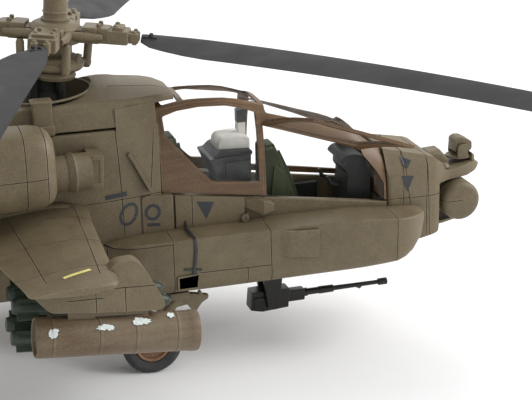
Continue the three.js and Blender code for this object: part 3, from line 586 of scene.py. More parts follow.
def make_cheeks():
    for side, sign in SIDES:
        rings = []
        table = [(0.3, 0.67, 0.82, 1.3), (0.75, 0.88, 0.71, 1.365), (2.2, 0.88, 0.7, 1.36),
                 (3.2, 0.88, 0.7, 1.345), (3.79, 0.865, 0.72, 1.29), (4.0, 0.79, 0.8, 1.275),
                 (4.12, 0.7, 0.9, 1.262), (4.19, 0.6, 1.02, 1.235)]
        xs, rows = [r[0] for r in table], np.array([r[1:] for r in table])
        for x in between(xs, 0.09):
            outer, low, top = ease(xs, rows, x)
            outline = rounded([(0.46, low), (outer - 0.07, low), (outer, low + 0.09),
                               (outer, top - 0.025), (0.46, top + 0.012)],
                              [0.02, 0.08, 0.08, 0.022, 0.02])
            rings.append([(x, sign * y, z) for y, z in outline])
        body = loft(rings, round_end=0.012)
        engrave(body, ("y", [[(1.13, 1.5), (1.135, 0.6)], [(2.237, 1.5), (2.25, 0.6)],
                             [(1.968, 0.93), (1.974, 0.6)], [(3.76, 1.5), (3.755, 0.6)],
                             [(0.43, 1.5), (0.44, 0.6)]]),
                ("y", [[(1.42, 0.941), (1.82, 0.932), (2.24, 0.923)], [(0.3, 1.31), (1.13, 1.305)]]))
        piece(body, f"cheek_{side}", *LINED, replaces=[f"cheek_fairing_{side}"])
        out = sign * 0.925
        blister = bevel(prism([(2.42, 1.0), (2.79, 0.955), (2.8, 1.285), (2.47, 1.3)], "y",
                              sign * 0.86, out), 0.012)
        facet = loft([[(x, sign * y, z) for x, z in outline] for y, outline in (
            (0.86, [(2.31, 1.02), (2.5, 0.97), (2.52, 1.31), (2.31, 1.325)]),
            (0.923, [(2.43, 1.015), (2.5, 1.0), (2.5, 1.3), (2.475, 1.3)]))])
        piece(gather(blister, facet), f"cheek_blister_{side}", *PLAIN_DRAB)
        # The boarding step is a raised rim round a shallow recess.
        rim = prism(rounded([(1.16, 0.765), (1.4, 0.765), (1.4, 0.935), (1.16, 0.93)], 0.015), "y",
                    sign * 0.84, sign * 0.902)
        cut(rim, prism([(1.182, 0.787), (1.381, 0.787), (1.381, 0.912), (1.182, 0.908)], "y",
                       sign * 0.884, sign * 0.95))
        piece(bevel(rim, 0.005, 1), f"step_rim_{side}", *PLAIN_DRAB)
        strap = [(1.36, 0.545, 1.47), (1.345, 0.6, 1.385), (1.36, 0.8, 1.368), (1.372, 0.884, 1.35),
                 (1.382, 0.889, 1.22), (1.366, 0.889, 1.07), (1.343, 0.889, 0.9)]
        piece(strip([(x, sign * y, z) for x, y, z in strap], 0.034, 0.014), f"cable_{side}", "airframe",
              "blade_grey", DECAL)
        cross = strip([(1.24, sign * 0.888, 1.005), (1.442, sign * 0.888, 0.978)], 0.02, 0.012)
        piece(cross, f"cable_tie_{side}", "airframe", "blade_grey", DECAL)


def strip(points, width, thick):
    """A flat band along a line of points that lies on the flank; its width is along X."""
    rings = []
    for i, p in enumerate(points):
        p = Vector(p)
        way = (Vector(points[min(i + 1, len(points) - 1)]) - Vector(points[max(i - 1, 0)])).normalized()
        across = Vector((0, 1, 0)).cross(way).normalized() if abs(way.y) < 0.7 else Vector((1, 0, 0))
        up = way.cross(across).normalized()
        rings.append([p + across * a * width / 2 + up * b * thick / 2
                      for a, b in rounded([(-1, -1), (1, -1), (1, 1), (-1, 1)], 0.4)])
    return loft(rings)


def make_rotor_fairing():
    base = DECK + GAP

    def section(low, foot, edge, height, crown):
        return [(foot, low), (edge, height), (0.16, crown)]

    body = body_loft([(-3.6, section(base, 0.36, 0.3, base + 0.06, base + 0.08)),
                      (-2.4, section(base, 0.46, 0.38, 2.76, 2.8)),
                      (-1.2, section(base, 0.55, 0.45, 2.84, 2.89)),
                      (-0.5, section(base, 0.58, 0.51, 2.855, 2.9)),
                      (0.35, section(base, 0.6, 0.525, 2.875, 2.99)),
                      (0.58, section(base, 0.6, 0.53, 2.875, 3.02)),
                      (0.72, section(base, 0.575, 0.53, 2.87, 3.01)),
                      (0.76, section(2.78, 0.525, 0.52, 2.87, 3.0)),
                      (1.08, section(2.79, 0.46, 0.45, 2.87, 2.955)),
                      (1.22, section(2.79, 0.4, 0.39, 2.865, 2.91)),
                      (1.3, section(2.775, 0.33, 0.32, 2.84, 2.87))],
                     (0.02, 0.03, 0.3), step=0.07, ends=(0.02, 0.035))
    # Ahead of the seam the flank runs up to the beak without a joint line.
    neck = body_loft([(0.625, [(0.6, 2.38), (0.612, 2.56), (0.575, 2.8)]),
                      (1.085, [(0.52, 2.38), (0.507, 2.56), (0.462, 2.82)])], (0.02, 0.1, 0.02))
    body = union(body, neck)
    cut(body, turned([(0, 2.4), (0.485, 2.4), (0.485, 3.3), (0, 3.3)], 64, "z"))
    engrave(body, ("y", [[(0.575, 3.2), (0.612, 2.5)], [(-1.25, 3.2), (-1.24, 2.4)],
                         [(-2.4, 3.2), (-2.4, 2.4)]]),
            ("z", [[(0.62, 0.27), (1.3, 0.2)], [(0.62, -0.27), (1.3, -0.2)]]), reach=(2.6, 4))
    piece(body, "rotor_housing", *LINED, replaces=["rotor_fairing"])
    rim = moved(turned([(0.483, 0), (0.5, 0.006), (0.5, 0.02), (0.483, 0.026), (0.468, 0.02),
                        (0.468, 0.006)], 64, "z"), shift((0, 0, 2.905))
                @ Matrix.Rotation(math.radians(-4), 4, "Y"))
    piece(rim, "mast_opening_rim", *PLAIN_DRAB)
    # The well's floor and the mast support inside it are near black: painted shade in the opening.
    well = turned([(0, 2.6), (0.48, 2.6), (0.48, 2.63), (0, 2.63)], 48, "z")
    piece(well, "mast_well_floor", "airframe", "cockpit_grey", HOLLOW_SHADE)
    links = [tube([(0.25 * math.cos(a), 0.25 * math.sin(a), 2.62),
                   (0.2 * math.cos(a), 0.2 * math.sin(a), 3.12)], 0.045, 12)
             for a in (0.6, 2.2, 3.9, 5.4)]
    stand = turned([(0, 2.62), (0.26, 2.62), (0.2, 2.9), (0.15, 2.95), (0.13, 3.05), (0, 3.05)], 32, "z")
    piece(gather(stand, *links), "mast_support", "airframe", "missile_green", HOLLOW_SHADE)
    for side, sign in SIDES:
        upper = block((-0.25, -0.045), (sign * 0.48, sign * 0.635), (2.7, 2.98), 0.02)
        lower = block((-0.268, -0.03), (sign * 0.5, sign * 0.655), (2.6, 2.71), 0.015)
        cap = block((-0.262, -0.034), (sign * 0.47, sign * 0.645), (2.94, 2.972), 0.01)
        piece(gather(upper, lower, cap), f"deck_antenna_box_{side}", *PLAIN_DRAB)


def make_nose():
    side = rounded([(3.775, 0.78), (4.36, 0.86), (4.46, 0.88), (4.5, 1.25), (4.58, 1.34), (4.76, 1.45),
                    (4.92, 1.47), (5.02, 1.5), (5.115, 1.56), (5.03, 1.6), (4.93, 1.615), (4.7, 1.57),
                    (4.585, 1.585), (4.5, 1.71), (4.37, 1.815), (4.18, 1.86), (3.775, 1.95)],
                   [0.02, 0.03, 0.03, 0.05, 0.05, 0.05, 0.03, 0.03, 0.02, 0.02, 0.04, 0.04, 0.03, 0.04,
                    0.05, 0.1, 0.02])
    half = [(3.775, 0.5), (4.3, 0.465), (4.42, 0.44), (4.5, 0.38), (4.6, 0.31), (4.85, 0.245),
            (5.04, 0.17), (5.115, 0.08)]
    plan = rounded(half + [(x, -y) for x, y in reversed(half)], 0.06)
    front = rounded(both([(0.44, 0.6), (0.5, 0.78), (0.5, 1.66), (0.36, 1.91), (0.2, 2.1)]), 0.1)
    body = common(prism(side, "y", -0.6, 0.6), prism(plan, "z", 0.6, 2.15), prism(front, "x", 3.7, 5.2))
    reach = math.hypot(SIGHT_HALF, SIGHT_RADIUS) + GAP
    cut(body, moved(turned([(0, 0.97), (reach, 0.97), (reach, 1.465), (0, 1.465)], 64, "z"),
                    shift((SIGHT_X, 0, 0))))
    engrave(body, ("y", [[(3.975, 2.1), (4.021, 1.584), (4.069, 1.3), (4.075, 0.7)],
                         [(4.262, 2.1), (4.3, 1.5), (4.331, 0.7)]]),
            ("y", [[(3.7, 1.385), (4.06, 1.365)], [(4.09, 1.36), (4.6, 1.345)]]),
            ("z", [[(4.28, -0.5), (4.28, 0.5)], [(3.98, -0.5), (3.98, 0.5)]]))
    piece(body, "nose", *LINED, replaces=["nose_section"])
    hump = loft([[(x, y, z)
                  for y, z in rounded([(-w, 1.55), (w, 1.55), (w * 0.8, top), (-w * 0.8, top)], 0.06)]
                 for x, w, top in ((4.4, 0.14, 1.7), (4.45, 0.16, 1.765), (4.6, 0.16, 1.775),
                                   (4.68, 0.15, 1.69))], 0.02, 0.02)
    knob = moved(turned([(0, -0.02), (0.07, -0.02), (0.075, 0.02), (0.055, 0.05), (0, 0.06)], 24, "z"),
                 shift((4.6, -0.2, 1.585)))
    piece(gather(hump, knob), "nose_hump", *PLAIN_DRAB)
    tongue = loft([[(x, y, z) for y, z in rounded([(-w, low), (w, low), (w, top), (-w, top)], 0.008)]
                   for x, w, low, top in ((4.4, 0.24, 0.875, 0.93), (4.6, 0.2, 0.885, 0.925),
                                          (4.86, 0.12, 0.9, 0.925))])
    piece(tongue, "nose_tongue", *PLAIN_DRAB)


# ------------------------------------------------------------------ canopy, doors and cockpit
ROOF = [(1.12, 2.71), (1.5, 2.765), (1.9, 2.745), (2.31, 2.63), (2.9, 2.42), (3.44, 2.2), (3.52, 2.11),
        (3.76, 1.93)]
WINDOWS = {
    "pilot": ([(1.185, 2.6), (1.195, 2.42), (1.23, 2.36), (1.61, 1.93), (1.7, 1.84), (2.235, 1.775),
               (2.242, 2.54), (2.1, 2.6), (1.9, 2.65), (1.6, 2.665), (1.35, 2.645)], 0.018),
    "gunner": ([(2.4, 1.7), (3.1, 1.58), (3.58, 1.5), (3.41, 2.0), (2.9, 2.205), (2.4, 2.385)], 0.03),
}
FIXED_WINDOWS = (
    [(1.185, 2.63), (1.2, 2.4), (1.61, 1.93), (1.7, 1.84), (2.24, 1.775), (2.24, 2.6), (2.1, 2.635),
     (1.6, 2.71), (1.4, 2.7)],
    [(2.37, 1.68), (3.1, 1.56), (3.62, 1.47), (3.4, 2.07), (2.9, 2.29), (2.37, 2.5)],
)
DOORS = {
    "pilot": [(1.13, 1.765), (2.285, 1.595), (2.285, 2.625), (1.9, 2.7), (1.5, 2.715), (1.13, 2.66)],
    "gunner": [(2.315, 1.585), (3.705, 1.375), (3.47, 2.025), (2.315, 2.43)],
}
HINGES = {"pilot": ((1.16, -0.305, 2.7), (2.27, -0.305, 2.63), 0),
          "gunner": ((2.33, -0.378, 2.43), (3.45, -0.378, 2.035), -104)}


def canopy_block(inset, drop):
    """The canopy as a solid, shrunk by inset and ending lower by drop."""
    rings = []
    xs = [p[0] for p in ROOF]
    for x in between(xs, 0.12):
        roof = float(ease(xs, np.array([p[1] for p in ROOF]), x)) - inset
        sill = height_at(SILL, x) + 0.018
        rise = roof - sill
        half = [(0.5 - inset, sill - drop - 0.002), (0.5 - inset, sill),
                (0.482 - inset, sill + 0.28 * rise), (0.455 - inset, sill + 0.52 * rise),
                (0.41 - inset, sill + 0.72 * rise), (0.36 - inset, sill + 0.86 * rise),
                (0.3 - 0.7 * inset, roof - 0.02), (0.25, roof), (0.12, roof + 0.012)]
        end = inset if x == xs[0] else -inset if x == xs[-1] else 0
        rings.append([(x + end, y, z) for y, z in both(half)])
    return loft(rings)


def canopy_shell(outside, inside):
    return cut(canopy_block(outside, 0), canopy_block(inside, 0.3))


def side_prism(outline, radius=0.0, low=-0.9, high=-0.2):
    return prism(rounded(outline, radius) if radius else outline, "y", low, high)


def make_canopy():
    frame_shell = canopy_shell(0, 0.035)
    glass_shell = canopy_shell(0.014, 0.024)
    roof = copy(frame_shell)
    for x0, x1, y0, y1 in ((1.19, 1.385, 0.285, 0.285), (1.435, 2.3, 0.285, 0.285),
                           (2.36, 3.42, 0.335, 0.32)):
        cut(roof, prism(rounded([(x0, -y0), (x1, -y1), (x1, y1), (x0, y0)], 0.03), "z", 2.1, 3.2))
    cut(roof, prism(rounded([(-0.24, 1.9), (0.24, 1.9), (0.24, 2.17), (-0.24, 2.17)], 0.03), "x", 3.45,
                    3.95))
    for outline in FIXED_WINDOWS:
        cut(roof, side_prism(outline, 0.03, 0.2, 0.9))
    # The opening in front of the gunner's door leaves only a slanting post.
    cut(roof, side_prism([(3.5, 1.93), (3.66, 1.72), (3.735, 1.58), (3.735, 1.25), (3.6, 1.25)]))
    for outline in DOORS.values():
        cut(roof, side_prism(outline))
    piece(roof, "canopy_bars", "airframe", "brown_frame", BROWN, replaces=["canopy_frame"])
    panes = copy(glass_shell)
    for outline in DOORS.values():
        cut(panes, side_prism(outline))
    piece(panes, "canopy_panes", "airframe", "clear_plastic", CLEAR, replaces=["canopy_glass"])

    for name, outline in DOORS.items():
        a, b, opening = HINGES[name]
        a, b = Vector(a), Vector(b)
        turn = Matrix.Rotation(math.radians(opening), 4, b - a)
        swing = Matrix.Translation(a) @ turn @ Matrix.Translation(-a)
        window, radius = WINDOWS[name]
        door = common(copy(frame_shell), side_prism(outline))
        cut(door, side_prism(window, radius))
        # A raised lip runs round the pane on the outside of the frame.
        lip = common(canopy_shell(-0.008, 0.03), side_prism(grown(window, 0.022), radius))
        cut(lip, side_prism(grown(window, 0.002), radius))
        door = gather(door, lip)
        if name == "gunner":
            lever = tube([(2.5, -0.51, 1.63), (2.6, -0.525, 1.62), (2.7, -0.51, 1.6)], 0.012, 8)
            door = gather(door, lever)
        piece(door, f"{name}_door_bars", f"{name}_door", "brown_frame", BROWN,
              replaces=[f"{name}_door_frame"], place=LEVEL @ swing)
        pane = common(copy(glass_shell), side_prism(grown(window, 0.015), radius))
        piece(pane, f"{name}_door_pane", f"{name}_door", "clear_plastic", CLEAR,
              replaces=[f"{name}_door_glass"], place=LEVEL @ swing)
    for shell in (frame_shell, glass_shell):
        bpy.data.objects.remove(shell)


def grown(outline, margin):
    """An outline moved outwards by a margin along its normals; its points run either way round."""
    points = [Vector(p) for p in outline]
    area = sum(a.x * b.y - b.x * a.y for a, b in zip(points, points[1:] + points[:1]))
    turn = 1 if area > 0 else -1
    out = []
    for i, p in enumerate(points):
        before, after = (p - points[i - 1]).normalized(), (points[(i + 1) % len(points)] - p).normalized()
        normal = Vector((before.y + after.y, -before.x - after.x)) * turn
        out.append(tuple(p + normal.normalized() * margin / max(0.5, normal.length / 2)))
    return out


def make_cockpit():
    def slab(outline, half, edge, radius=0.03, y=0.0):
        return bevel(prism(rounded(outline, radius, 3), "y", y - half, y + half), edge, 2)

    def seat(name, x, floor, back, lean, foot):
        pan = slab([(x, floor), (x + 0.5, floor), (x + 0.53, floor + 0.2), (x + 0.2, floor + 0.26),
                    (x, floor + 0.24)], 0.2, 0.02)
        rest = slab([(x, floor + 0.1), (x + foot, floor + 0.24), (x + 0.17 + lean, back - 0.1),
                     (x + 0.1 + lean, back), (x + lean, back - 0.03)], 0.2, 0.025)
        wings = [slab([(x + 0.04, floor + 0.3), (x + 0.24, floor + 0.32), (x + 0.22 + lean, back - 0.3),
                       (x + 0.1 + lean, back - 0.2)], 0.025, 0.01, y=s * 0.2) for s in (-1, 1)]
        belts = [strip([(x + 0.18 + lean, s * 0.09, back - 0.08),
                        (x + (0.2 + foot) / 2 + 0.02, s * 0.085, back - 0.42),
                        (x + foot + 0.01, s * 0.05, floor + 0.3)], 0.05, 0.02) for s in (-1, 1)]
        head = slab([(x + lean + 0.01, back - 0.22), (x + lean + 0.17, back - 0.24),
                     (x + lean + 0.14, back + 0.02), (x + lean + 0.03, back + 0.01)], 0.11, 0.02)
        piece(gather(pan, rest, *wings, *belts, head), name, "airframe", "seat_green", SEAT,
              replaces=[name.replace("_chair", "_seat")])

    seat("pilot_chair", 1.25, 1.22, 2.28, -0.02, 0.2)
    seat("gunner_chair", 2.4, 1.03, 2.06, 0.0, 0.42)

    mass = slab([(1.72, 2.02), (1.86, 1.7), (1.88, 1.23), (2.2, 1.23), (2.21, 2.05)], 0.28, 0.02)
    dials = [block((1.9, 2.2), (s * 0.12, s * 0.32), (1.72, 1.98), 0.02) for s in (-1, 1)]
    hood = slab([(1.76, 2.01), (2.235, 2.02), (2.235, 2.08), (1.86, 2.1)], 0.25, 0.015)
    piece(gather(mass, *dials, hood), "instrument_hood", *COCKPIT_GREY, replaces=["instrument_cowl"])
    pale = slab([(1.86, 2.06), (2.235, 2.06), (2.235, 2.2), (2.12, 2.235), (1.9, 2.225), (1.86, 2.17)],
                0.17, 0.025)
    post = block((2.13, 2.22), (-0.045, 0.045), (2.2, 2.4), 0.01)
    piece(gather(pale, post), "bulkhead_pad", "airframe", "pale_grey", PALE, replaces=["blast_shield"])
    piece(block((2.12, 2.23), (-0.055, 0.055), (2.35, 2.5), 0.01), "bulkhead_post_cap", *COCKPIT_GREY)

    column = slab([(3.34, 1.02), (3.67, 1.02), (3.67, 1.6), (3.4, 1.68)], 0.22, 0.02)
    screen = slab([(3.36, 1.68), (3.42, 1.6), (3.67, 1.56), (3.66, 1.78), (3.55, 1.84), (3.4, 1.85),
                   (3.37, 1.8)], 0.23, 0.03)
    brow = slab([(3.3, 1.83), (3.32, 1.79), (3.5, 1.78), (3.63, 1.76), (3.58, 1.86), (3.45, 1.89),
                 (3.36, 1.89)], 0.25, 0.02)
    grips = [tube([(3.3, s * 0.14, 1.5), (3.2, s * 0.15, 1.54), (3.17, s * 0.15, 1.62)], 0.025, 10, 0.01)
             for s in (-1, 1)]
    piece(gather(column, screen, brow, *grips), "sight_housing", *COCKPIT_GREY,
          replaces=["sight_console"])
    for name, x0, x1, floor in (("rear", 1.21, 2.23, 1.215), ("front", 2.37, 3.68, 1.015)):
        piece(block((x0, x1), (-0.42, 0.42), (floor - 0.01, floor)), f"{name}_cockpit_floor",
              *COCKPIT_GREY)
    for side, sign in SIDES:
        shelf = block((2.66, 3.2), (sign * 0.3, sign * 0.425), (1.02, 1.42), 0.015)
        ledge = block((1.5, 1.84), (sign * 0.3, sign * 0.425), (1.22, 1.6), 0.015)
        piece(gather(shelf, ledge), f"side_console_{side}", *COCKPIT_GREY)


# ------------------------------------------------------------------ engines, wings and stores
def make_engines():
    for side, sign in SIDES:
        def ring(x, inset, lift=0.0):
            return box_ring(x, (sign * ENGINE_Y - 0.36 + inset, sign * ENGINE_Y + 0.36 - inset),
                            (2.0 + inset + lift, 2.84 - inset + lift), 0.3 - inset * 0.6, 8)

        table = [(-2.35, 0.06), (-2.1, 0.02), (-1.9, 0.01), (-1.2, 0.0), (-0.55, 0.0), (-0.36, 0.006),
                 (-0.27, 0.02), (-0.21, 0.045), (-0.17, 0.08), (-0.15, 0.12)]
        pod = loft([ring(x, i) for x, i in table])
        cut(pod, loft([ring(x, 0.15) for x in (-0.5, 0.0)]))
        engrave(pod, ("y", [[(-0.245, 3), (-0.25, 1.8)], [(-0.46, 3), (-0.47, 1.8)],
                            [(-1.3, 3), (-1.3, 1.8)], [(-2.0, 3), (-2.0, 1.8)]]),
                ("y", [[(-2.3, 2.385), (-0.25, 2.382)]]))
        mount = block((-2.0, -0.5), (sign * 0.6, sign * 0.9), (2.12, 2.4), 0.03)
        piece(gather(pod, mount), f"nacelle_{side}", *LINED, replaces=[f"engine_nacelle_{side}"])
        # The intake plug is near black: painted shade inside the intake.
        plug = moved(turned([(0, -0.1), (0.16, -0.1), (0.14, 0.1), (0.06, 0.2), (0, 0.22)], 32, "x"),
                     shift((-0.42, sign * ENGINE_Y, 2.42)))
        piece(plug, f"intake_plug_{side}", "airframe", "cockpit_grey", HOLLOW_SHADE)
        shaft = tube([(-0.3, sign * 0.87, 2.24), (0.04, sign * 0.84, 2.24)], 0.19, 40)
        sleeve = tube([(0.03, sign * 0.84, 2.24), (0.09, sign * 0.84, 2.24), (0.12, sign * 0.835, 2.24),
                       (0.27, sign * 0.83, 2.24)], [0.2, 0.215, 0.2, 0.195], 40)
        flange = bevel(prism([(0.25, 2.05), (0.41, 2.045), (0.425, 2.4), (0.26, 2.425)], "y", sign * 0.58,
                             sign * 0.875), 0.015)
        window = bevel(prism([(0.29, 2.1), (0.375, 2.095), (0.385, 2.35), (0.3, 2.37)], "y", sign * 0.865,
                             sign * 0.95), 0.004)
        cut(flange, window)
        piece(gather(shaft, sleeve, flange), f"gearbox_{side}", *PLAIN_DRAB)

        duct = loft([ring(x, i, l) for x, i, l in ((-2.37, 0.08, 0), (-2.6, 0.07, 0.01),
                                                   (-2.8, 0.06, 0.03), (-3.15, 0.12, 0.08))],
                    round_start=0.02)
        for k in (-1, 0, 1):
            cut(duct, block((-3.3, -2.93), (sign * ENGINE_Y - 0.17, sign * ENGINE_Y + 0.17),
                            (2.47 + 0.19 * k, 2.6 + 0.19 * k)))
        engrave(duct, ("y", [[(x, 3), (x, 1.8)] for x in (-2.6, -2.85)]))
        piece(duct, f"exhaust_{side}", *LINED, replaces=[f"engine_exhaust_{side}"])


def wing_section(front, rear, thick):
    """Airfoil points [x, z]; front and rear are the chord's ends."""
    chord = front - rear
    upper = [(0.0, 0.0), (0.008, 0.14), (0.03, 0.26), (0.07, 0.37), (0.14, 0.46), (0.28, 0.52),
             (0.45, 0.47), (0.65, 0.34), (0.85, 0.17), (1.0, 0.04)]
    lower = [(1.0, -0.04), (0.8, -0.16), (0.55, -0.32), (0.3, -0.4), (0.14, -0.37), (0.05, -0.26),
             (0.012, -0.13)]
    return [(front - chord * u, thick * v) for u, v in upper + lower]


def make_wings():
    for side, sign in SIDES:
        table = [(0.6, 0.3, -1.16, 0.3, 1.69), (0.7, 0.275, -1.13, 0.26, 1.69),
                 (0.85, 0.26, -1.09, 0.24, 1.69), (1.6, 0.22, -0.92, 0.2, 1.69),
                 (2.34, 0.19, -0.76, 0.16, 1.68), (2.6, 0.18, -0.71, 0.14, 1.675),
                 (2.68, 0.13, -0.7, 0.12, 1.67), (2.72, 0.02, -0.67, 0.08, 1.67)]
        ys, rows = [r[0] for r in table], np.array([r[1:] for r in table])
        rings = []
        for y in between(ys, 0.12):
            front, rear, thick, z = ease(ys, rows, y)
            rings.append([(x, sign * y, z + h) for x, h in wing_section(front, rear, thick)])
        body = loft(rings)
        engrave(body, ("z", [[(0.11, sign * 0.66), (0.02, sign * 2.5)],
                             [(-0.62, sign * 0.66), (-0.5, sign * 2.5)]]),
                ("z", [[(0.4, sign * y), (-1.2, sign * y)] for y in (0.98, INNER_STATION, 2.3)]))
        piece(body, f"stub_wing_{side}", *LINED, replaces=[f"wing_{side}"])
        fillet = tube([(-1.05, sign * 0.63, 1.73), (-0.5, sign * 0.65, 1.79), (0.0, sign * 0.66, 1.795),
                       (0.24, sign * 0.64, 1.72)], [0.03, 0.06, 0.06, 0.02], 16)
        piece(fillet, f"wing_fillet_{side}", *PLAIN_DRAB)


def make_pylons():
    keel = [(-0.66, 1.6), (-0.47, 1.37), (0, 1.31)]
    outer = rounded([*keel, (0.6, 1.25), (0.665, 1.3), (0.64, 1.38), (0.46, 1.73), (0.38, 1.815),
                     (0.18, 1.8), (0.1, 1.7)], [0.02, 0.05, 0.02, 0.03, 0.03, 0.05, 0.08, 0.07, 0.06,
                                                0.02], 3)
    inner = rounded([*keel, (0.2, 1.29), (0.24, 1.33), (0.16, 1.6)], [0.02, 0.05, 0.02, 0.02, 0.03, 0.02],
                    3)
    for side, sign in SIDES:
        for name, station, outline in (("outer", OUTER_STATION, outer), ("inner", INNER_STATION, inner)):
            body = bevel(prism(outline, "y", sign * station - 0.082, sign * station + 0.082), 0.03, 3, 50)
            if name == "outer":
                engrave(body, ("y", [[(0.14, 1.545), (0.6, 1.52)], [(-0.3, 1.47), (0.05, 1.46)]]),
                        ("y", [[(0.27, 1.545), (0.27, 1.2)], [(-0.02, 1.6), (-0.02, 1.2)]]))
            foot = block((-0.3, 0.5 if name == "outer" else 0.18),
                         (sign * station - 0.05, sign * station + 0.05), (1.205, 1.34), 0.01)
            piece(gather(body, foot), f"{name}_store_pylon_{side}", *LINED,
                  replaces=[f"{name}_pylon_{side}"])


def store_place(x, y, z):
    return LEVEL @ shift((x, y, z)) @ Matrix.Rotation(STORE_TILT, 4, "Y")


def make_rocket_pods():
    radius, half = 0.205, 0.81
    for side, sign in SIDES:
        profile = [(0, -half + 0.03), (radius * 0.84, -half + 0.03), (radius * 0.86, -half),
                   (radius * 0.93, -half - 0.004), (radius * 0.97, -half + 0.012),
                   (radius * 0.985, -half + 0.06)]
        for x in (-0.66, -0.2, 0.16, 0.58):
            profile += [(radius * 0.985, x - 0.016), (radius * 0.965, x - 0.012),
                        (radius * 0.965, x - 0.004), (radius * 1.0, x), (radius * 1.0, x + 0.018),
                        (radius * 0.985, x + 0.022)]
        profile += [(radius * 0.985, half - 0.1), (radius * 1.01, half - 0.085),
                    (radius * 1.012, half - 0.02), (radius * 0.97, half), (radius * 0.9, half),
                    (radius * 0.86, half - 0.03), (0, half - 0.03)]
        can = turned(profile, 64, "x")
        spots = [(0, 0)] + [(0.075 * math.cos(a), 0.075 * math.sin(a))
                            for a in np.radians(range(0, 360, 60))]
        spots += [(0.146 * math.cos(a), 0.146 * math.sin(a)) for a in np.radians(range(15, 375, 30))]
        holes = []
        for y, z in spots:
            hole = turned([(0, half - 0.12), (0.027, half - 0.12), (0.027, half + 0.05),
                           (0, half + 0.05)], 16, "x")
            holes.append(moved(hole, shift((0, y, z))))
        cut(can, gather(*holes))
        saddle = block((-0.25, 0.3), (-0.05, 0.05), (0.16, 0.235), 0.012)
        pod = gather(can, saddle)
        piece(pod, f"rocket_can_{side}", "airframe", "pod_brown", POD_BROWN,
              replaces=[f"rocket_pod_{side}"], place=store_place(0.18, sign * OUTER_STATION, 1.027),
              angle=28)


def make_missiles():
    radius, half = 0.089, 0.815
    for side, sign in SIDES:
        rack = store_place(0.04, sign * INNER_STATION, 0.98)
        beam = gather(block((-0.42, 0.45), (-0.055, 0.055), (-0.2, 0.2), 0.012),
                      block((-0.3, 0.3), (-0.05, 0.05), (0.15, 0.28), 0.012))
        piece(beam, f"launcher_beam_{side}", *PLAIN_DRAB, replaces=[f"missile_launcher_{side}"],
              place=rack)
        for where, way in (("outer", sign), ("inner", -sign)):
            parts = []
            for z in (-0.17, 0.17):
                profile = [(0, -half), (radius * 0.8, -half), (radius * 0.98, -half + 0.05),
                           (radius, -half + 0.09), (radius, -0.3), (radius * 0.96, -0.29),
                           (radius * 0.96, -0.27), (radius, -0.26), (radius, half - 0.24),
                           (radius * 0.95, half - 0.2), (radius * 0.84, half - 0.1),
                           (radius * 0.55, half - 0.03), (radius * 0.2, half - 0.003), (0, half)]
                parts.append(moved(turned(profile, 32, "x"), shift((0, 0, z))))
                for k in range(4):
                    turn = shift((0, 0, z)) @ Matrix.Rotation(math.radians(45 + 90 * k), 4, "X")
                    for x0, x1, reach in ((-half + 0.04, -half + 0.3, 0.155),
                                          (half - 0.42, half - 0.32, 0.12)):
                        fin = prism([(x0, 0.05), (x1, 0.05), (x1 - 0.08, reach), (x0, reach)], "y",
                                    -0.008, 0.008)
                        parts.append(moved(fin, turn))
            rail = block((-0.4, 0.4), tuple(sorted((-way * 0.06, -way * 0.095))), (-0.19, 0.19), 0.008)
            piece(gather(*parts, rail), f"missiles_{where}_{side}", "airframe", "missile_green",
                  MISSILE_GREEN, replaces=[f"missile_pair_{where}_{side}"],
                  place=rack @ shift((0, way * 0.175, 0)))


# ------------------------------------------------------------------ undercarriage, gun and sensors
def wheel_pieces(name, x, y, z, radius, width, rim, axle, body, nodes, sign):
    half = width / 2
    place = LEVEL @ shift((x, y, z)) @ Matrix.Scale(sign, 4, (0, 1, 0))
    tread = []
    for k in range(-3, 4):
        h = k * half * 0.2
        tread += [(radius - 0.006, h - 0.012), (radius - 0.006, h - 0.006), (radius, h - 0.004),
                  (radius, h + 0.004)] if k else [(radius, -0.02), (radius, 0.02)]
    shoulder = [(rim + 0.012, -half * 0.78), (rim + 0.03, -half * 0.9), (radius * 0.82, -half),
                (radius * 0.93, -half * 0.88), (radius * 0.985, -half * 0.72)]
    profile = shoulder + tread + [(r, -h) for r, h in reversed(shoulder)]
    piece(turned(profile, 72), f"{name}_rubber", body, "tyre", TYRE, replaces=[nodes[0]], place=place)
    if len(nodes) > 1:
        disc = [(axle + 0.008, -half * 0.75), (rim * 0.9, -half * 0.72), (rim, -half * 0.84),
                (rim, half * 0.84), (rim * 0.94, half * 0.86), (rim * 0.86, half * 0.78),
                (rim * 0.8, half * 0.5), (rim * 0.55, half * 0.42), (rim * 0.45, half * 0.62),
                (axle + 0.035, half * 0.66), (axle + 0.008, half * 0.66)]
        hub = turned(disc, 48)
        bolts = [moved(turned([(0, half * 0.4), (0.014, half * 0.4), (0.012, half * 0.56),
                               (0, half * 0.58)], 10),
                       shift((rim * 0.66 * math.cos(a), 0, rim * 0.66 * math.sin(a))))
                 for a in np.radians(range(0, 360, 45))]
        piece(gather(hub, *bolts), f"{name}_rim", body, "wheel_rust", RUST, replaces=[nodes[1]],
              place=place)


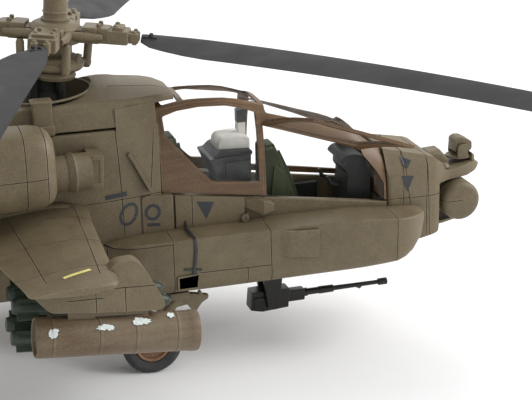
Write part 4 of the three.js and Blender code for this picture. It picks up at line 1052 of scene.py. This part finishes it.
def make_gear():
    for side, sign in SIDES:
        x, z, y = 0.811, 0.253, sign * 1.0
        wheel_pieces(f"main_{side}", x, y, z, 0.33, 0.22, 0.19, 0.035, f"main_wheel_{side}",
                     [f"main_{side}_tyre", f"main_{side}_wheel_hub"], sign)
        leg_y = sign * 0.79
        knee = (1.22, sign * 0.7, 0.62)
        leg = tube([knee, (1.0, sign * 0.76, 0.42), (x, leg_y, z)], [0.06, 0.055, 0.06], 20, 0.01)
        damper = tube([(1.13, sign * 0.66, 0.68), (1.0, sign * 0.74, 0.52), (0.86, leg_y, 0.34)],
                      [0.035, 0.035, 0.03], 14)
        axle = tube([(x, sign * 0.74, z), (x, sign * 1.08, z)], 0.034, 20, 0.006)
        cap = moved(turned([(0, 0), (0.05, 0), (0.045, 0.02), (0, 0.024)], 20),
                    shift((x, sign * 1.075, z)) @ Matrix.Scale(sign, 4, (0, 1, 0)))
        step = bevel(prism([(1.09, 0.49), (1.18, 0.66), (1.3, 0.655), (1.42, 0.63), (1.55, 0.6),
                            (1.54, 0.56), (1.47, 0.52), (1.38, 0.4), (1.3, 0.52)], "y", sign * 0.66,
                           sign * 0.735), 0.008)
        foot = block((1.1, 1.32), (sign * 0.64, sign * 0.78), (0.6, 0.69), 0.015)
        brace = tube([(1.5, sign * 0.7, 0.56), (1.44, sign * 0.72, 0.66)], 0.02, 10)
        piece(gather(leg, damper, axle, cap, step, foot, brace), f"main_leg_{side}", *PLAIN_DRAB,
              replaces=[f"gear_leg_{side}"])

    x, z = -9.72, 1.05
    wheel_pieces("tail", x, 0, z, 0.2, 0.14, 0.1, 0.03, "tail_wheel", ["tail_wheel"], 1)
    hub = turned([(0.034, -0.05), (0.1, -0.05), (0.112, -0.058), (0.112, 0.058), (0.1, 0.05),
                  (0.034, 0.05)], 32)
    piece(hub, "tail_rim", "tail_wheel", "tyre", RUST, place=LEVEL @ shift((x, 0, z)))
    arms = [tube([(-9.05, s * 0.07, 1.49), (-9.3, s * 0.11, 1.38), (x, s * 0.12, z)],
                 [0.04, 0.034, 0.036], 14, 0.008) for s in (-1, 1)]
    post = tube([(-9.05, 0, 1.44), (-9.05, 0, 1.71)], 0.07, 24, 0.01)
    yoke = block((-9.12, -8.99), (-0.11, 0.11), (1.42, 1.55), 0.02)
    axle = tube([(x, -0.125, z), (x, 0.125, z)], 0.03, 16, 0.005)
    piece(gather(post, yoke, axle, *arms), "tail_fork", "tail_wheel_swivel", "drab_paint", DRAB,
          replaces=["tail_wheel_fork"])


def make_gun():
    x = 2.47
    column = moved(turned([(0, 0.52), (0.12, 0.52), (0.17, 0.56), (0.17, 0.64), (0.15, 0.67),
                           (0.15, 0.675), (0, 0.675)], 40, "z"), shift((x, 0, 0)))
    cross = block((x - 0.13, x + 0.13), (-0.19, 0.19), (0.46, 0.56), 0.012)
    ears = [bevel(prism([(x - 0.12, 0.55), (x - 0.06, 0.08), (x - 0.02, 0.06), (x + 0.05, 0.06),
                         (x + 0.08, 0.08), (x + 0.13, 0.55)], "y", s * 0.13, s * 0.188), 0.008)
            for s in (-1, 1)]
    piece(gather(column, cross, *ears), "gun_yoke", "gun_turret", "gun_black", GUN_BLACK,
          replaces=["gun_turret"])
    receiver = bevel(prism([(2.22, 0.045), (2.36, 0.01), (2.69, 0.03), (2.71, 0.26), (2.5, 0.275),
                            (2.24, 0.268)], "y", -0.1, 0.1), 0.012)
    feed = block((2.26, 2.5), (-0.12, -0.06), (0.06, 0.2), 0.01)
    sleeve = block((2.6, 2.91), (-0.066, 0.066), (0.075, 0.215), 0.02)
    z = 0.15
    barrel = tube([(2.88, 0, z), (2.95, 0, z), (2.955, 0, z), (3.1, 0, z), (3.105, 0, z), (3.28, 0, z),
                   (3.29, 0, z), (3.5, 0, z), (3.86, 0, z), (3.865, 0, z), (3.97, 0, z)],
                  [0.05, 0.05, 0.04, 0.04, 0.046, 0.044, 0.03, 0.028, 0.026, 0.042, 0.042], 28)
    lug = prism([(3.56, 0.13), (3.62, 0.1), (3.66, 0.13)], "y", -0.012, 0.012)
    piece(gather(receiver, feed, sleeve, barrel, lug), "chain_gun", "gun", "gun_black", GUN_BLACK,
          replaces=["gun"])


SIGHT_WINDOWS = ((-0.36, -0.14, 1.12, 1.32), (0.14, 0.36, 1.22, 1.33), (0.14, 0.36, 1.08, 1.19))


def make_sensors():
    x, z, radius, half = SIGHT_X, SIGHT_Z, SIGHT_RADIUS, SIGHT_HALF
    yoke = gather(tube([(x, 0, z), (x, 0, 1.445)], 0.06, 24), tube([(x, -0.3, z), (x, 0.3, z)], 0.05, 20))
    piece(yoke, "sight_yoke", "sensor_yoke", "drab_paint", DRAB, replaces=["sensor_yoke"])
    r = 0.07
    arc = [(radius - r * (1 - math.cos(t)), half - r * (1 - math.sin(t)))
           for t in np.radians([0, 22, 45, 68, 90])]
    profile = [(0, -half), *[(a, -b) for a, b in reversed(arc)], (radius, -0.27),
               (radius - 0.008, -0.265), (radius - 0.008, -0.255), (radius, -0.25), (radius, 0.25),
               (radius - 0.008, 0.255), (radius - 0.008, 0.265), (radius, 0.27), *arc, (0, half)]
    drum = moved(turned(profile, 64), shift((x, 0, z)))
    middle = 0.06 + 2 * GAP
    slot = prism([(x - 0.4, z - 0.4), (x + 0.12, z - 0.4), (x + 0.12, z - 0.03), (x + 0.36, z + 0.21),
                  (x + 0.3, z + 0.4), (x - 0.4, z + 0.4)], "y", -middle, middle)
    cut(drum, slot, moved(turned([(0, -0.322), (0.072, -0.322), (0.072, 0.322), (0, 0.322)], 32),
                          shift((x, 0, z))))
    for y0, y1, z0, z1 in SIGHT_WINDOWS:
        cut(drum, block((x + 0.17, x + 0.3), (y0, y1), (z0, z1), 0.01))
    engrave(drum, ("x", [[(-0.5, z + 0.02), (-0.13, z + 0.02)], [(0.13, z + 0.02), (0.5, z + 0.02)]]),
            reach=(4.2, SIGHT_X))
    piece(drum, "sight_drum", "sensor_drum", "drab_paint", DRAB, LINE, replaces=["sensor_drum"])
    panes = [block((x + 0.15, x + 0.165), (y0 + 0.01, y1 - 0.01), (z0 + 0.01, z1 - 0.01), 0.002)
             for y0, y1, z0, z1 in SIGHT_WINDOWS]
    piece(gather(*panes), "sight_panes", "sensor_drum", "drab_paint", LENS)

    nx, nz = 4.875, 1.775
    base = moved(turned([(0, 1.645), (0.15, 1.645), (0.15, 1.66), (0.135, 1.668), (0, 1.668)], 40, "z"),
                 shift((nx, 0, 0)))
    ears = [bevel(prism(rounded([(nx - 0.07, 1.65), (nx + 0.07, 1.65), (nx + 0.06, 1.82),
                                 (nx - 0.06, 1.82)], 0.04), "y", s * 0.12, s * 0.149), 0.006)
            for s in (-1, 1)]
    shroud = loft([[(x, y, z) for y, z in rounded([(-w, low), (w, low), (w, top), (-w, top)], 0.03)]
                   for x, w, low, top in ((4.985, 0.13, 1.575, 1.66), (5.0, 0.14, 1.57, 1.7),
                                          (5.03, 0.12, 1.56, 1.68))], 0.01, 0.01)
    ears.append(shroud)
    piece(gather(base, *ears), "night_mount", "night_sensor_base", "drab_paint", DRAB,
          replaces=["night_sensor_base"])
    outline = rounded([(-0.08, -0.06), (0.1, -0.065), (0.14, -0.03), (0.135, 0.06), (0.03, 0.12),
                       (-0.04, 0.125), (-0.09, 0.09)], 0.02)
    head = bevel(prism([(nx + u, nz + v) for u, v in outline], "y", -0.097, 0.097), 0.014, 3, 40)
    cut(head, block((nx + 0.11, nx + 0.2), (-0.06, 0.06), (nz - 0.02, nz + 0.04)))
    piece(head, "night_eye", "night_sensor_head", "drab_paint", DRAB, replaces=["night_sensor_head"])
    piece(block((nx + 0.1, nx + 0.112), (-0.055, 0.055), (nz - 0.018, nz + 0.038)), "night_pane",
          "night_sensor_head", "drab_paint", LENS)


# ------------------------------------------------------------------ tail
def make_tail():
    table = [(-8.55, 0.2, 1.83, 2.36), (-6.5, 0.29, 1.64, 2.43), (-4.24, 0.36, 1.42, 2.5)]
    xs, rows = [r[0] for r in table], np.array([r[1:] for r in table])
    boom = loft([box_ring(x, (-h, h), (low, top), h * 0.75, 6)
                 for x, (h, low, top) in ((x, ease(xs, rows, x)) for x in between(xs, 0.25))])
    engrave(boom, ("y", [[(x, 3), (x, 1)] for x in (-4.7, -5.9, -7.2, -8.3)]),
            ("y", [[(-8.3, 2.05), (-4.7, 2.0)]]))
    piece(boom, "boom", *LINED, replaces=["tail_boom"])
    spine = loft([[(x, y, z)
                   for y, z in rounded([(-0.09, z0), (0.09, z0), (0.06, z1), (-0.06, z1)], 0.02)]
                  for x, z0, z1 in ((-8.4, 2.3, 2.4), (-6.5, 2.36, 2.47), (-4.3, 2.42, 2.54))])
    piece(spine, "drive_shaft_cover", *PLAIN_DRAB)

    def fin_ring(z, rear, front, half):
        span = front - rear
        points = [(front - span * u, half * v)
                  for u, v in ((0, 0), (0.02, 0.35), (0.08, 0.7), (0.22, 1), (0.5, 0.9), (0.8, 0.45),
                               (1, 0.08))]
        return [(x, y, z) for x, y in points] + [(x, -y, z) for x, y in reversed(points[1:])]

    fin = loft([fin_ring(*row) for row in ((1.74, -9.08, -8.585, 0.17), (2.0, -9.08, -8.585, 0.17),
                                           (2.05, -9.78, -8.585, 0.16), (2.4, -9.82, -8.585, 0.14),
                                           (2.62, -9.8, -8.66, 0.12), (3.4, -9.76, -8.87, 0.09),
                                           (4.2, -9.72, -9.1, 0.06))])
    engrave(fin, ("y", [[(-9.5, 2.1), (-9.45, 4.1)]]),
            ("y", [[(-9.8, z), (-8.6, z)] for z in (2.7, 3.3)]))
    hub_x, _, hub_z = TAIL_HUB
    gearbox = tube([(hub_x, y, hub_z) for y in (-0.02, 0.2, 0.31)], [0.15, 0.14, 0.1], 28, 0.01)
    piece(gather(fin, gearbox), "fin", *LINED, replaces=["tail_fin"])

    rings = []
    for y in (-1.7, -1.69, -1.6, -0.8, 0, 0.8, 1.6, 1.69, 1.7):
        chord = 1 - 0.2 * abs(y) / 1.7 - (0.12 if abs(y) == 1.7 else 0)
        thick = 0.1 if abs(y) < 1.65 else 0.07 if abs(y) < 1.7 else 0.03
        rings.append([(-9.35 + x, y, 1.82 + z)
                      for x, z in wing_section(0.2 * chord, -0.62 * chord, thick)])
    stab = loft(rings)
    engrave(stab, ("z", [[(-9.75, -1.6), (-9.8, 0), (-9.75, 1.6)]]),
            ("z", [[(-9, -0.8), (-10.2, -0.8)], [(-9, 0.8), (-10.2, 0.8)]]), reach=(1, 2.6))
    piece(stab, "tail_plane", "stabilator", "drab_paint", DRAB, LINE, replaces=["stabilator"])

    for node, offset, hub, angle in (("inner", 0.02, (-0.07, 0.08), 20),
                                     ("outer", 0.16, (0.102, 0.24), 75)):
        parts = []
        for way in (-1, 1):
            rings = []
            for r, half, thick in ((0.05, 0.05, 0.06), (0.28, 0.06, 0.05), (0.36, 0.12, 0.04),
                                   (0.9, 0.125, 0.035), (1.36, 0.125, 0.028), (1.385, 0.11, 0.015)):
                rings.append([(way * r, offset + h, v) for v, h in wing_section(half, -half, thick)])
            parts.append(loft(rings))
        parts.append(tube([(0, hub[0], 0), (0, hub[1], 0)], 0.088, 28, 0.0))
        place = LEVEL @ shift(TAIL_HUB) @ Matrix.Rotation(math.radians(angle), 4, "Y")
        piece(gather(*parts), f"tail_blades_{node}", "tail_rotor", "blade_grey", BLADE,
              replaces=[f"tail_rotor_{node}_pair"], place=place)


# ------------------------------------------------------------------ main rotor
# The blades rise by PITCH for each metre across the chord. From the root outwards they slope down by
# DROOP, and they bend down by SAG times the radius squared.
BLADE_PITCH = 0.13
BLADE_DROOP = 0.02
BLADE_SAG = 0.0097


def make_rotor():
    parts = [turned([(0, -0.13), (0.2, -0.13), (0.27, -0.1), (0.28, -0.04), (0.28, 0.06), (0.24, 0.1),
                     (0.2, 0.12), (0, 0.12)], 48, "z"),
             turned([(0, 0.1), (0.155, 0.1), (0.155, 0.15), (0.13, 0.165), (0.13, 0.21), (0.14, 0.215),
                     (0.14, 0.225), (0.13, 0.23), (0.13, 0.38), (0.14, 0.385), (0.14, 0.4), (0.12, 0.42),
                     (0, 0.42)], 48, "z"),
             turned([(0, -0.85), (0.1, -0.85), (0.1, -0.12), (0, -0.12)], 32, "z")]
    for k in range(4):
        arm = [block((0.14, 0.5), (-0.12, 0.12), (-0.085, 0.06), 0.025),
               block((0.3, 0.46), (-0.15, 0.15), (-0.05, 0.1), 0.02),
               block((0.42, 0.6), (-0.13, 0.13), (-0.075, 0.095), 0.025),
               block((0.57, 0.8), (-0.15, 0.15), (-0.07, 0.08), 0.022),
               block((0.62, 0.74), (-0.12, 0.12), (0.06, 0.115), 0.015),
               block((0.76, 0.905), (-0.1, -0.03), (-0.055, 0.055), 0.015),
               block((0.76, 0.905), (0.03, 0.1), (-0.055, 0.055), 0.015),
               block((0.7, 0.82), (-0.1, 0.1), (-0.04, 0.04), 0.01)]
        for x, y in ((0.48, 0.08), (0.48, -0.08), (0.66, 0.09), (0.66, -0.09), (0.86, 0.065),
                     (0.86, -0.065)):
            arm.append(moved(turned([(0, 0.04), (0.026, 0.04), (0.026, 0.125), (0.018, 0.135), (0, 0.135)]
                                    if x < 0.8 else [(0, -0.07), (0.024, -0.07), (0.024, 0.07),
                                                     (0.014, 0.08), (0, 0.08)], 16, "z"),
                             shift((x, y, 0))))
        arm += [tube([(0.2, s * 0.17, 0.0), (0.36, s * 0.17, 0.0), (0.52, s * 0.15, 0.0)],
                     [0.045, 0.05, 0.035], 16, 0.01) for s in (-1, 1)]
        parts += [moved(part, Matrix.Rotation(math.pi / 2 * k, 4, "Z")) for part in arm]
    piece(gather(*parts), "hub", "main_rotor", "drab_paint", DRAB, replaces=["rotor_hub"], place=ROTOR)

    ring = [turned([(0.125, -0.39), (0.29, -0.39), (0.32, -0.36), (0.32, -0.31), (0.29, -0.28),
                    (0.27, -0.26), (0.125, -0.26)], 48, "z"),
            turned([(0.125, -0.5), (0.22, -0.5), (0.24, -0.46), (0.22, -0.42), (0.125, -0.42)], 48, "z")]
    for k in range(4):
        a = math.pi / 2 * k + 0.5

        def at(r, z, turn=0.0):
            return (r * math.cos(a + turn), r * math.sin(a + turn), z)

        ring += [tube([at(0.37, -0.4), at(0.37, -0.37), at(0.385, -0.1), at(0.385, -0.06)],
                      [0.03, 0.046, 0.046, 0.03], 16),
                 tube([at(0.25, -0.33), at(0.4, -0.34)], 0.045, 12, 0.01),
                 tube([at(0.28, -0.33, 0.6), at(0.31, -0.2, 0.7)], 0.03, 10)]
    piece(gather(*ring), "swash_ring", "main_rotor", "drab_paint", DRAB, replaces=["swashplate"],
          place=ROTOR)

    table = [(0.93, 0.16, 0.085), (0.97, 0.24, 0.085), (1.04, 0.36, 0.08), (1.2, 0.46, 0.07),
             (1.4, 0.55, 0.06), (1.62, 0.6, 0.055), (6.75, 0.6, 0.05), (6.82, 0.57, 0.045),
             (7.2, 0.33, 0.035), (7.29, 0.27, 0.02)]
    rs, rows = [r[0] for r in table], np.array([r[1:] for r in table])
    for k in range(4):
        rings = []
        for r in between(rs, 0.25):
            chord, thick = (float(np.interp(r, rs, rows[:, i])) for i in (0, 1))
            z = -BLADE_DROOP * (r - rs[0]) - BLADE_SAG * r * r
            rings.append([(r, x, z + h + BLADE_PITCH * x)
                          for x, h in wing_section(chord * 0.3, -chord * 0.7, thick)])
        blade = loft(rings)
        root = gather(block((0.93, 1.1), (-0.07, 0.04), (-0.045, 0.03), 0.015),
                      *[moved(turned([(0, -0.06), (0.022, -0.06), (0.022, 0.045), (0.014, 0.055),
                                      (0, 0.055)], 14, "z"), shift((1.03, y, 0)))
                        for y in (-0.045, 0.02)])
        piece(gather(blade, root), f"rotor_blade_{k + 1}", "main_rotor", "blade_grey", BLADE,
              replaces=[f"main_blade_{k + 1}"], place=ROTOR @ Matrix.Rotation(math.pi / 2 * k, 4, "Z"))


# ------------------------------------------------------------------ markings, chips and small parts
def marking(name, outlines, axis, toward, surfaces, material, slot="blade_grey", body="airframe",
            lift=0.0022, place=LEVEL):
    """Flat shapes laid on the pieces they cover: dropped along an axis onto the first surface met."""
    graph = bpy.context.evaluated_depsgraph_get()
    trees = [BVHTree.FromObject(bpy.data.objects[s], graph) for s in surfaces]
    index, start = "xyz".index(axis), 6.0 * -toward
    way = Vector([toward if i == index else 0 for i in range(3)])
    turn = place.to_3x3().normalized()
    # Rays either side of a point carry the marking over a panel line instead of into it.
    steps = [Vector()] + [Vector([reach if i == side else 0 for i in range(3)])
                          for side in range(3) if side != index for reach in (-0.011, 0.011)]
    shapes = []
    for outline in outlines:
        flat = prism(outline, axis, 0, 0.01)
        bm = bmesh.new()
        bm.from_mesh(flat.data)
        bmesh.ops.delete(bm, geom=[f for f in bm.faces
                                   if abs(f.normal[index]) < 0.5 or f.normal[index] < 0], context="FACES")
        bmesh.ops.triangulate(bm, faces=bm.faces)
        for _ in range(4):
            long_edges = [e for e in bm.edges if e.calc_length() > 0.03]
            bmesh.ops.subdivide_edges(bm, edges=long_edges, cuts=1)
            bmesh.ops.triangulate(bm, faces=bm.faces)
        lost = []
        for v in bm.verts:
            origin = v.co.copy()
            origin[index] = start
            hits = [tree.ray_cast(place @ (origin + step), turn @ way) for tree in trees
                    for step in steps]
            hits = [h for h in hits if h[0] is not None]
            if not hits:
                lost.append(v)
                continue
            nearest = place.inverted() @ min(hits, key=lambda h: h[3])[0]
            v.co[index] = nearest[index] - way[index] * lift
        bmesh.ops.delete(bm, geom=lost, context="VERTS")
        bm.to_mesh(flat.data)
        bm.free()
        shapes.append(flat)
    piece(gather(*shapes), name, body, slot, material, place=place)


def ring_outline(cx, cz, rx, rz, width, tilt=0.0, steps=28, start=0.004):
    """An almost closed band round an ellipse."""
    angles = [2 * math.pi * (start + (1 - 2 * start) * k / steps) for k in range(steps + 1)]
    line = [(cx + rx * math.cos(a) * math.cos(tilt) - rz * math.sin(a) * math.sin(tilt),
             cz + rx * math.cos(a) * math.sin(tilt) + rz * math.sin(a) * math.cos(tilt)) for a in angles]
    return ribbon(line, width)


def make_markings():
    side_faces = ["hull", "side_panel_right", "side_panel_left", "nose"]
    for side, sign in SIDES:
        shapes = [ribbon([(0.462, 1.838), (0.58, 1.85), (0.704, 1.86)], 0.05),
                  ring_outline(0.715, 1.62, 0.085, 0.12, 0.032, -0.5),
                  ring_outline(0.985, 1.6, 0.074, 0.078, 0.036),
                  ribbon([(0.918, 1.462), (1.063, 1.45)], 0.035),
                  [(1.484, 1.655), (1.689, 1.628), (1.592, 1.44)],
                  [(3.945, 1.645), (4.107, 1.626), (4.023, 1.44)]]
        marking(f"side_marks_{side}", shapes, "y", -sign, side_faces, DECAL)
        marking(f"wing_stripe_{side}", [ribbon([(-0.33, sign * 2.48), (-0.05, sign * 2.4)], 0.045)], "z",
                -1, [f"stub_wing_{side}"], YELLOW, slot="pale_grey")
        marking(f"nose_mark_{side}", [[(3.965, 1.848), (4.09, 1.8), (4.03, 1.725), (3.975, 1.76)]], "y",
                -sign, ["nose"], DECAL)
        rough = []
        for i, (x, z, a, b) in enumerate(((-0.47, 1.2, 0.045, 0.04), (-0.44, 1.222, 0.03, 0.016),
                                          (0.03, 1.185, 0.07, 0.022), (0.09, 1.172, 0.04, 0.02),
                                          (0.38, 1.18, 0.06, 0.026), (0.45, 1.172, 0.05, 0.018),
                                          (0.72, 1.185, 0.045, 0.022))):
            n = 16
            rough.append([(x + a * math.cos(2 * math.pi * k / n) * (1 + 0.22 * math.sin(3.1 * k + i)),
                           z + b * math.sin(2 * math.pi * k / n) * (1 + 0.22 * math.cos(2.3 * k + 2 * i)))
                          for k in range(n)])
        marking(f"pod_chips_{side}", rough, "y", -sign, [f"rocket_can_{side}"], CHIP, slot="pale_grey")


for make in (make_fuselage, make_cheeks, make_rotor_fairing, make_nose, make_canopy, make_cockpit,
             make_engines, make_wings, make_pylons, make_rocket_pods, make_missiles, make_gear, make_gun,
             make_sensors, make_tail, make_rotor, make_markings):
    make()


# ------------------------------------------------------------------ stage
def make_stage():
    floor = solid([(-8, -8, 0), (8, -8, 0), (8, 8, 0), (-8, 8, 0)], [[0, 1, 2, 3]])
    floor.name = "floor"
    floor.data.materials.append(
        plain("floor_paper", (0.86, 0.86, 0.86, 1), 0.8, (0.84, 0.84, 0.84, 1), 0.5))

    world = bpy.data.worlds.new("studio")
    world.use_nodes = True
    world.node_tree.nodes["Background"].inputs["Color"].default_value = (1, 1, 1, 1)
    world.node_tree.nodes["Background"].inputs["Strength"].default_value = 0.82
    bpy.context.scene.world = world

    target = Vector((0.02, 0, 0.02))
    for name, place, size, power in (("key", (0.62, -0.12, 0.46), 0.55, 4.6),
                                     ("back", (0.1, 0.6, 0.5), 0.6, 1.2)):
        data = bpy.data.lights.new(name, "AREA")
        data.shape, data.size, data.energy = "DISK", size, power
        lamp = bpy.data.objects.new(name, data)
        lamp.location = place
        lamp.rotation_euler = (target - Vector(place)).to_track_quat("-Z", "Y").to_euler()
        bpy.context.scene.collection.objects.link(lamp)


def make_camera():
    """The photo's camera, solved from the aircraft's proportions, in full-size metres and radians."""
    place = Vector((-2.801, -15.624, 6.891))
    turn, drop, roll = math.radians(18.764), math.radians(17.82), math.radians(4.02)
    ahead = Vector((math.sin(turn) * math.cos(drop), math.cos(turn) * math.cos(drop), -math.sin(drop)))
    level_right = Vector((math.cos(turn), -math.sin(turn), 0))
    level_up = level_right.cross(ahead)
    right = level_right * math.cos(roll) + level_up * math.sin(roll)
    up = -level_right * math.sin(roll) + level_up * math.cos(roll)
    data = bpy.data.cameras.new("camera")
    data.lens, data.sensor_width, data.sensor_fit, data.clip_start = 101.2, 36, "HORIZONTAL", 0.005
    camera = bpy.data.objects.new("camera", data)
    axes = Matrix((right, up, -ahead)).transposed().to_4x4()
    camera.matrix_world = Matrix.Translation(UPRIGHT @ place) @ axes
    bpy.context.scene.collection.objects.link(camera)
    bpy.context.scene.camera = camera


make_stage()
make_camera()
bpy.context.scene.view_settings.view_transform = "Standard"
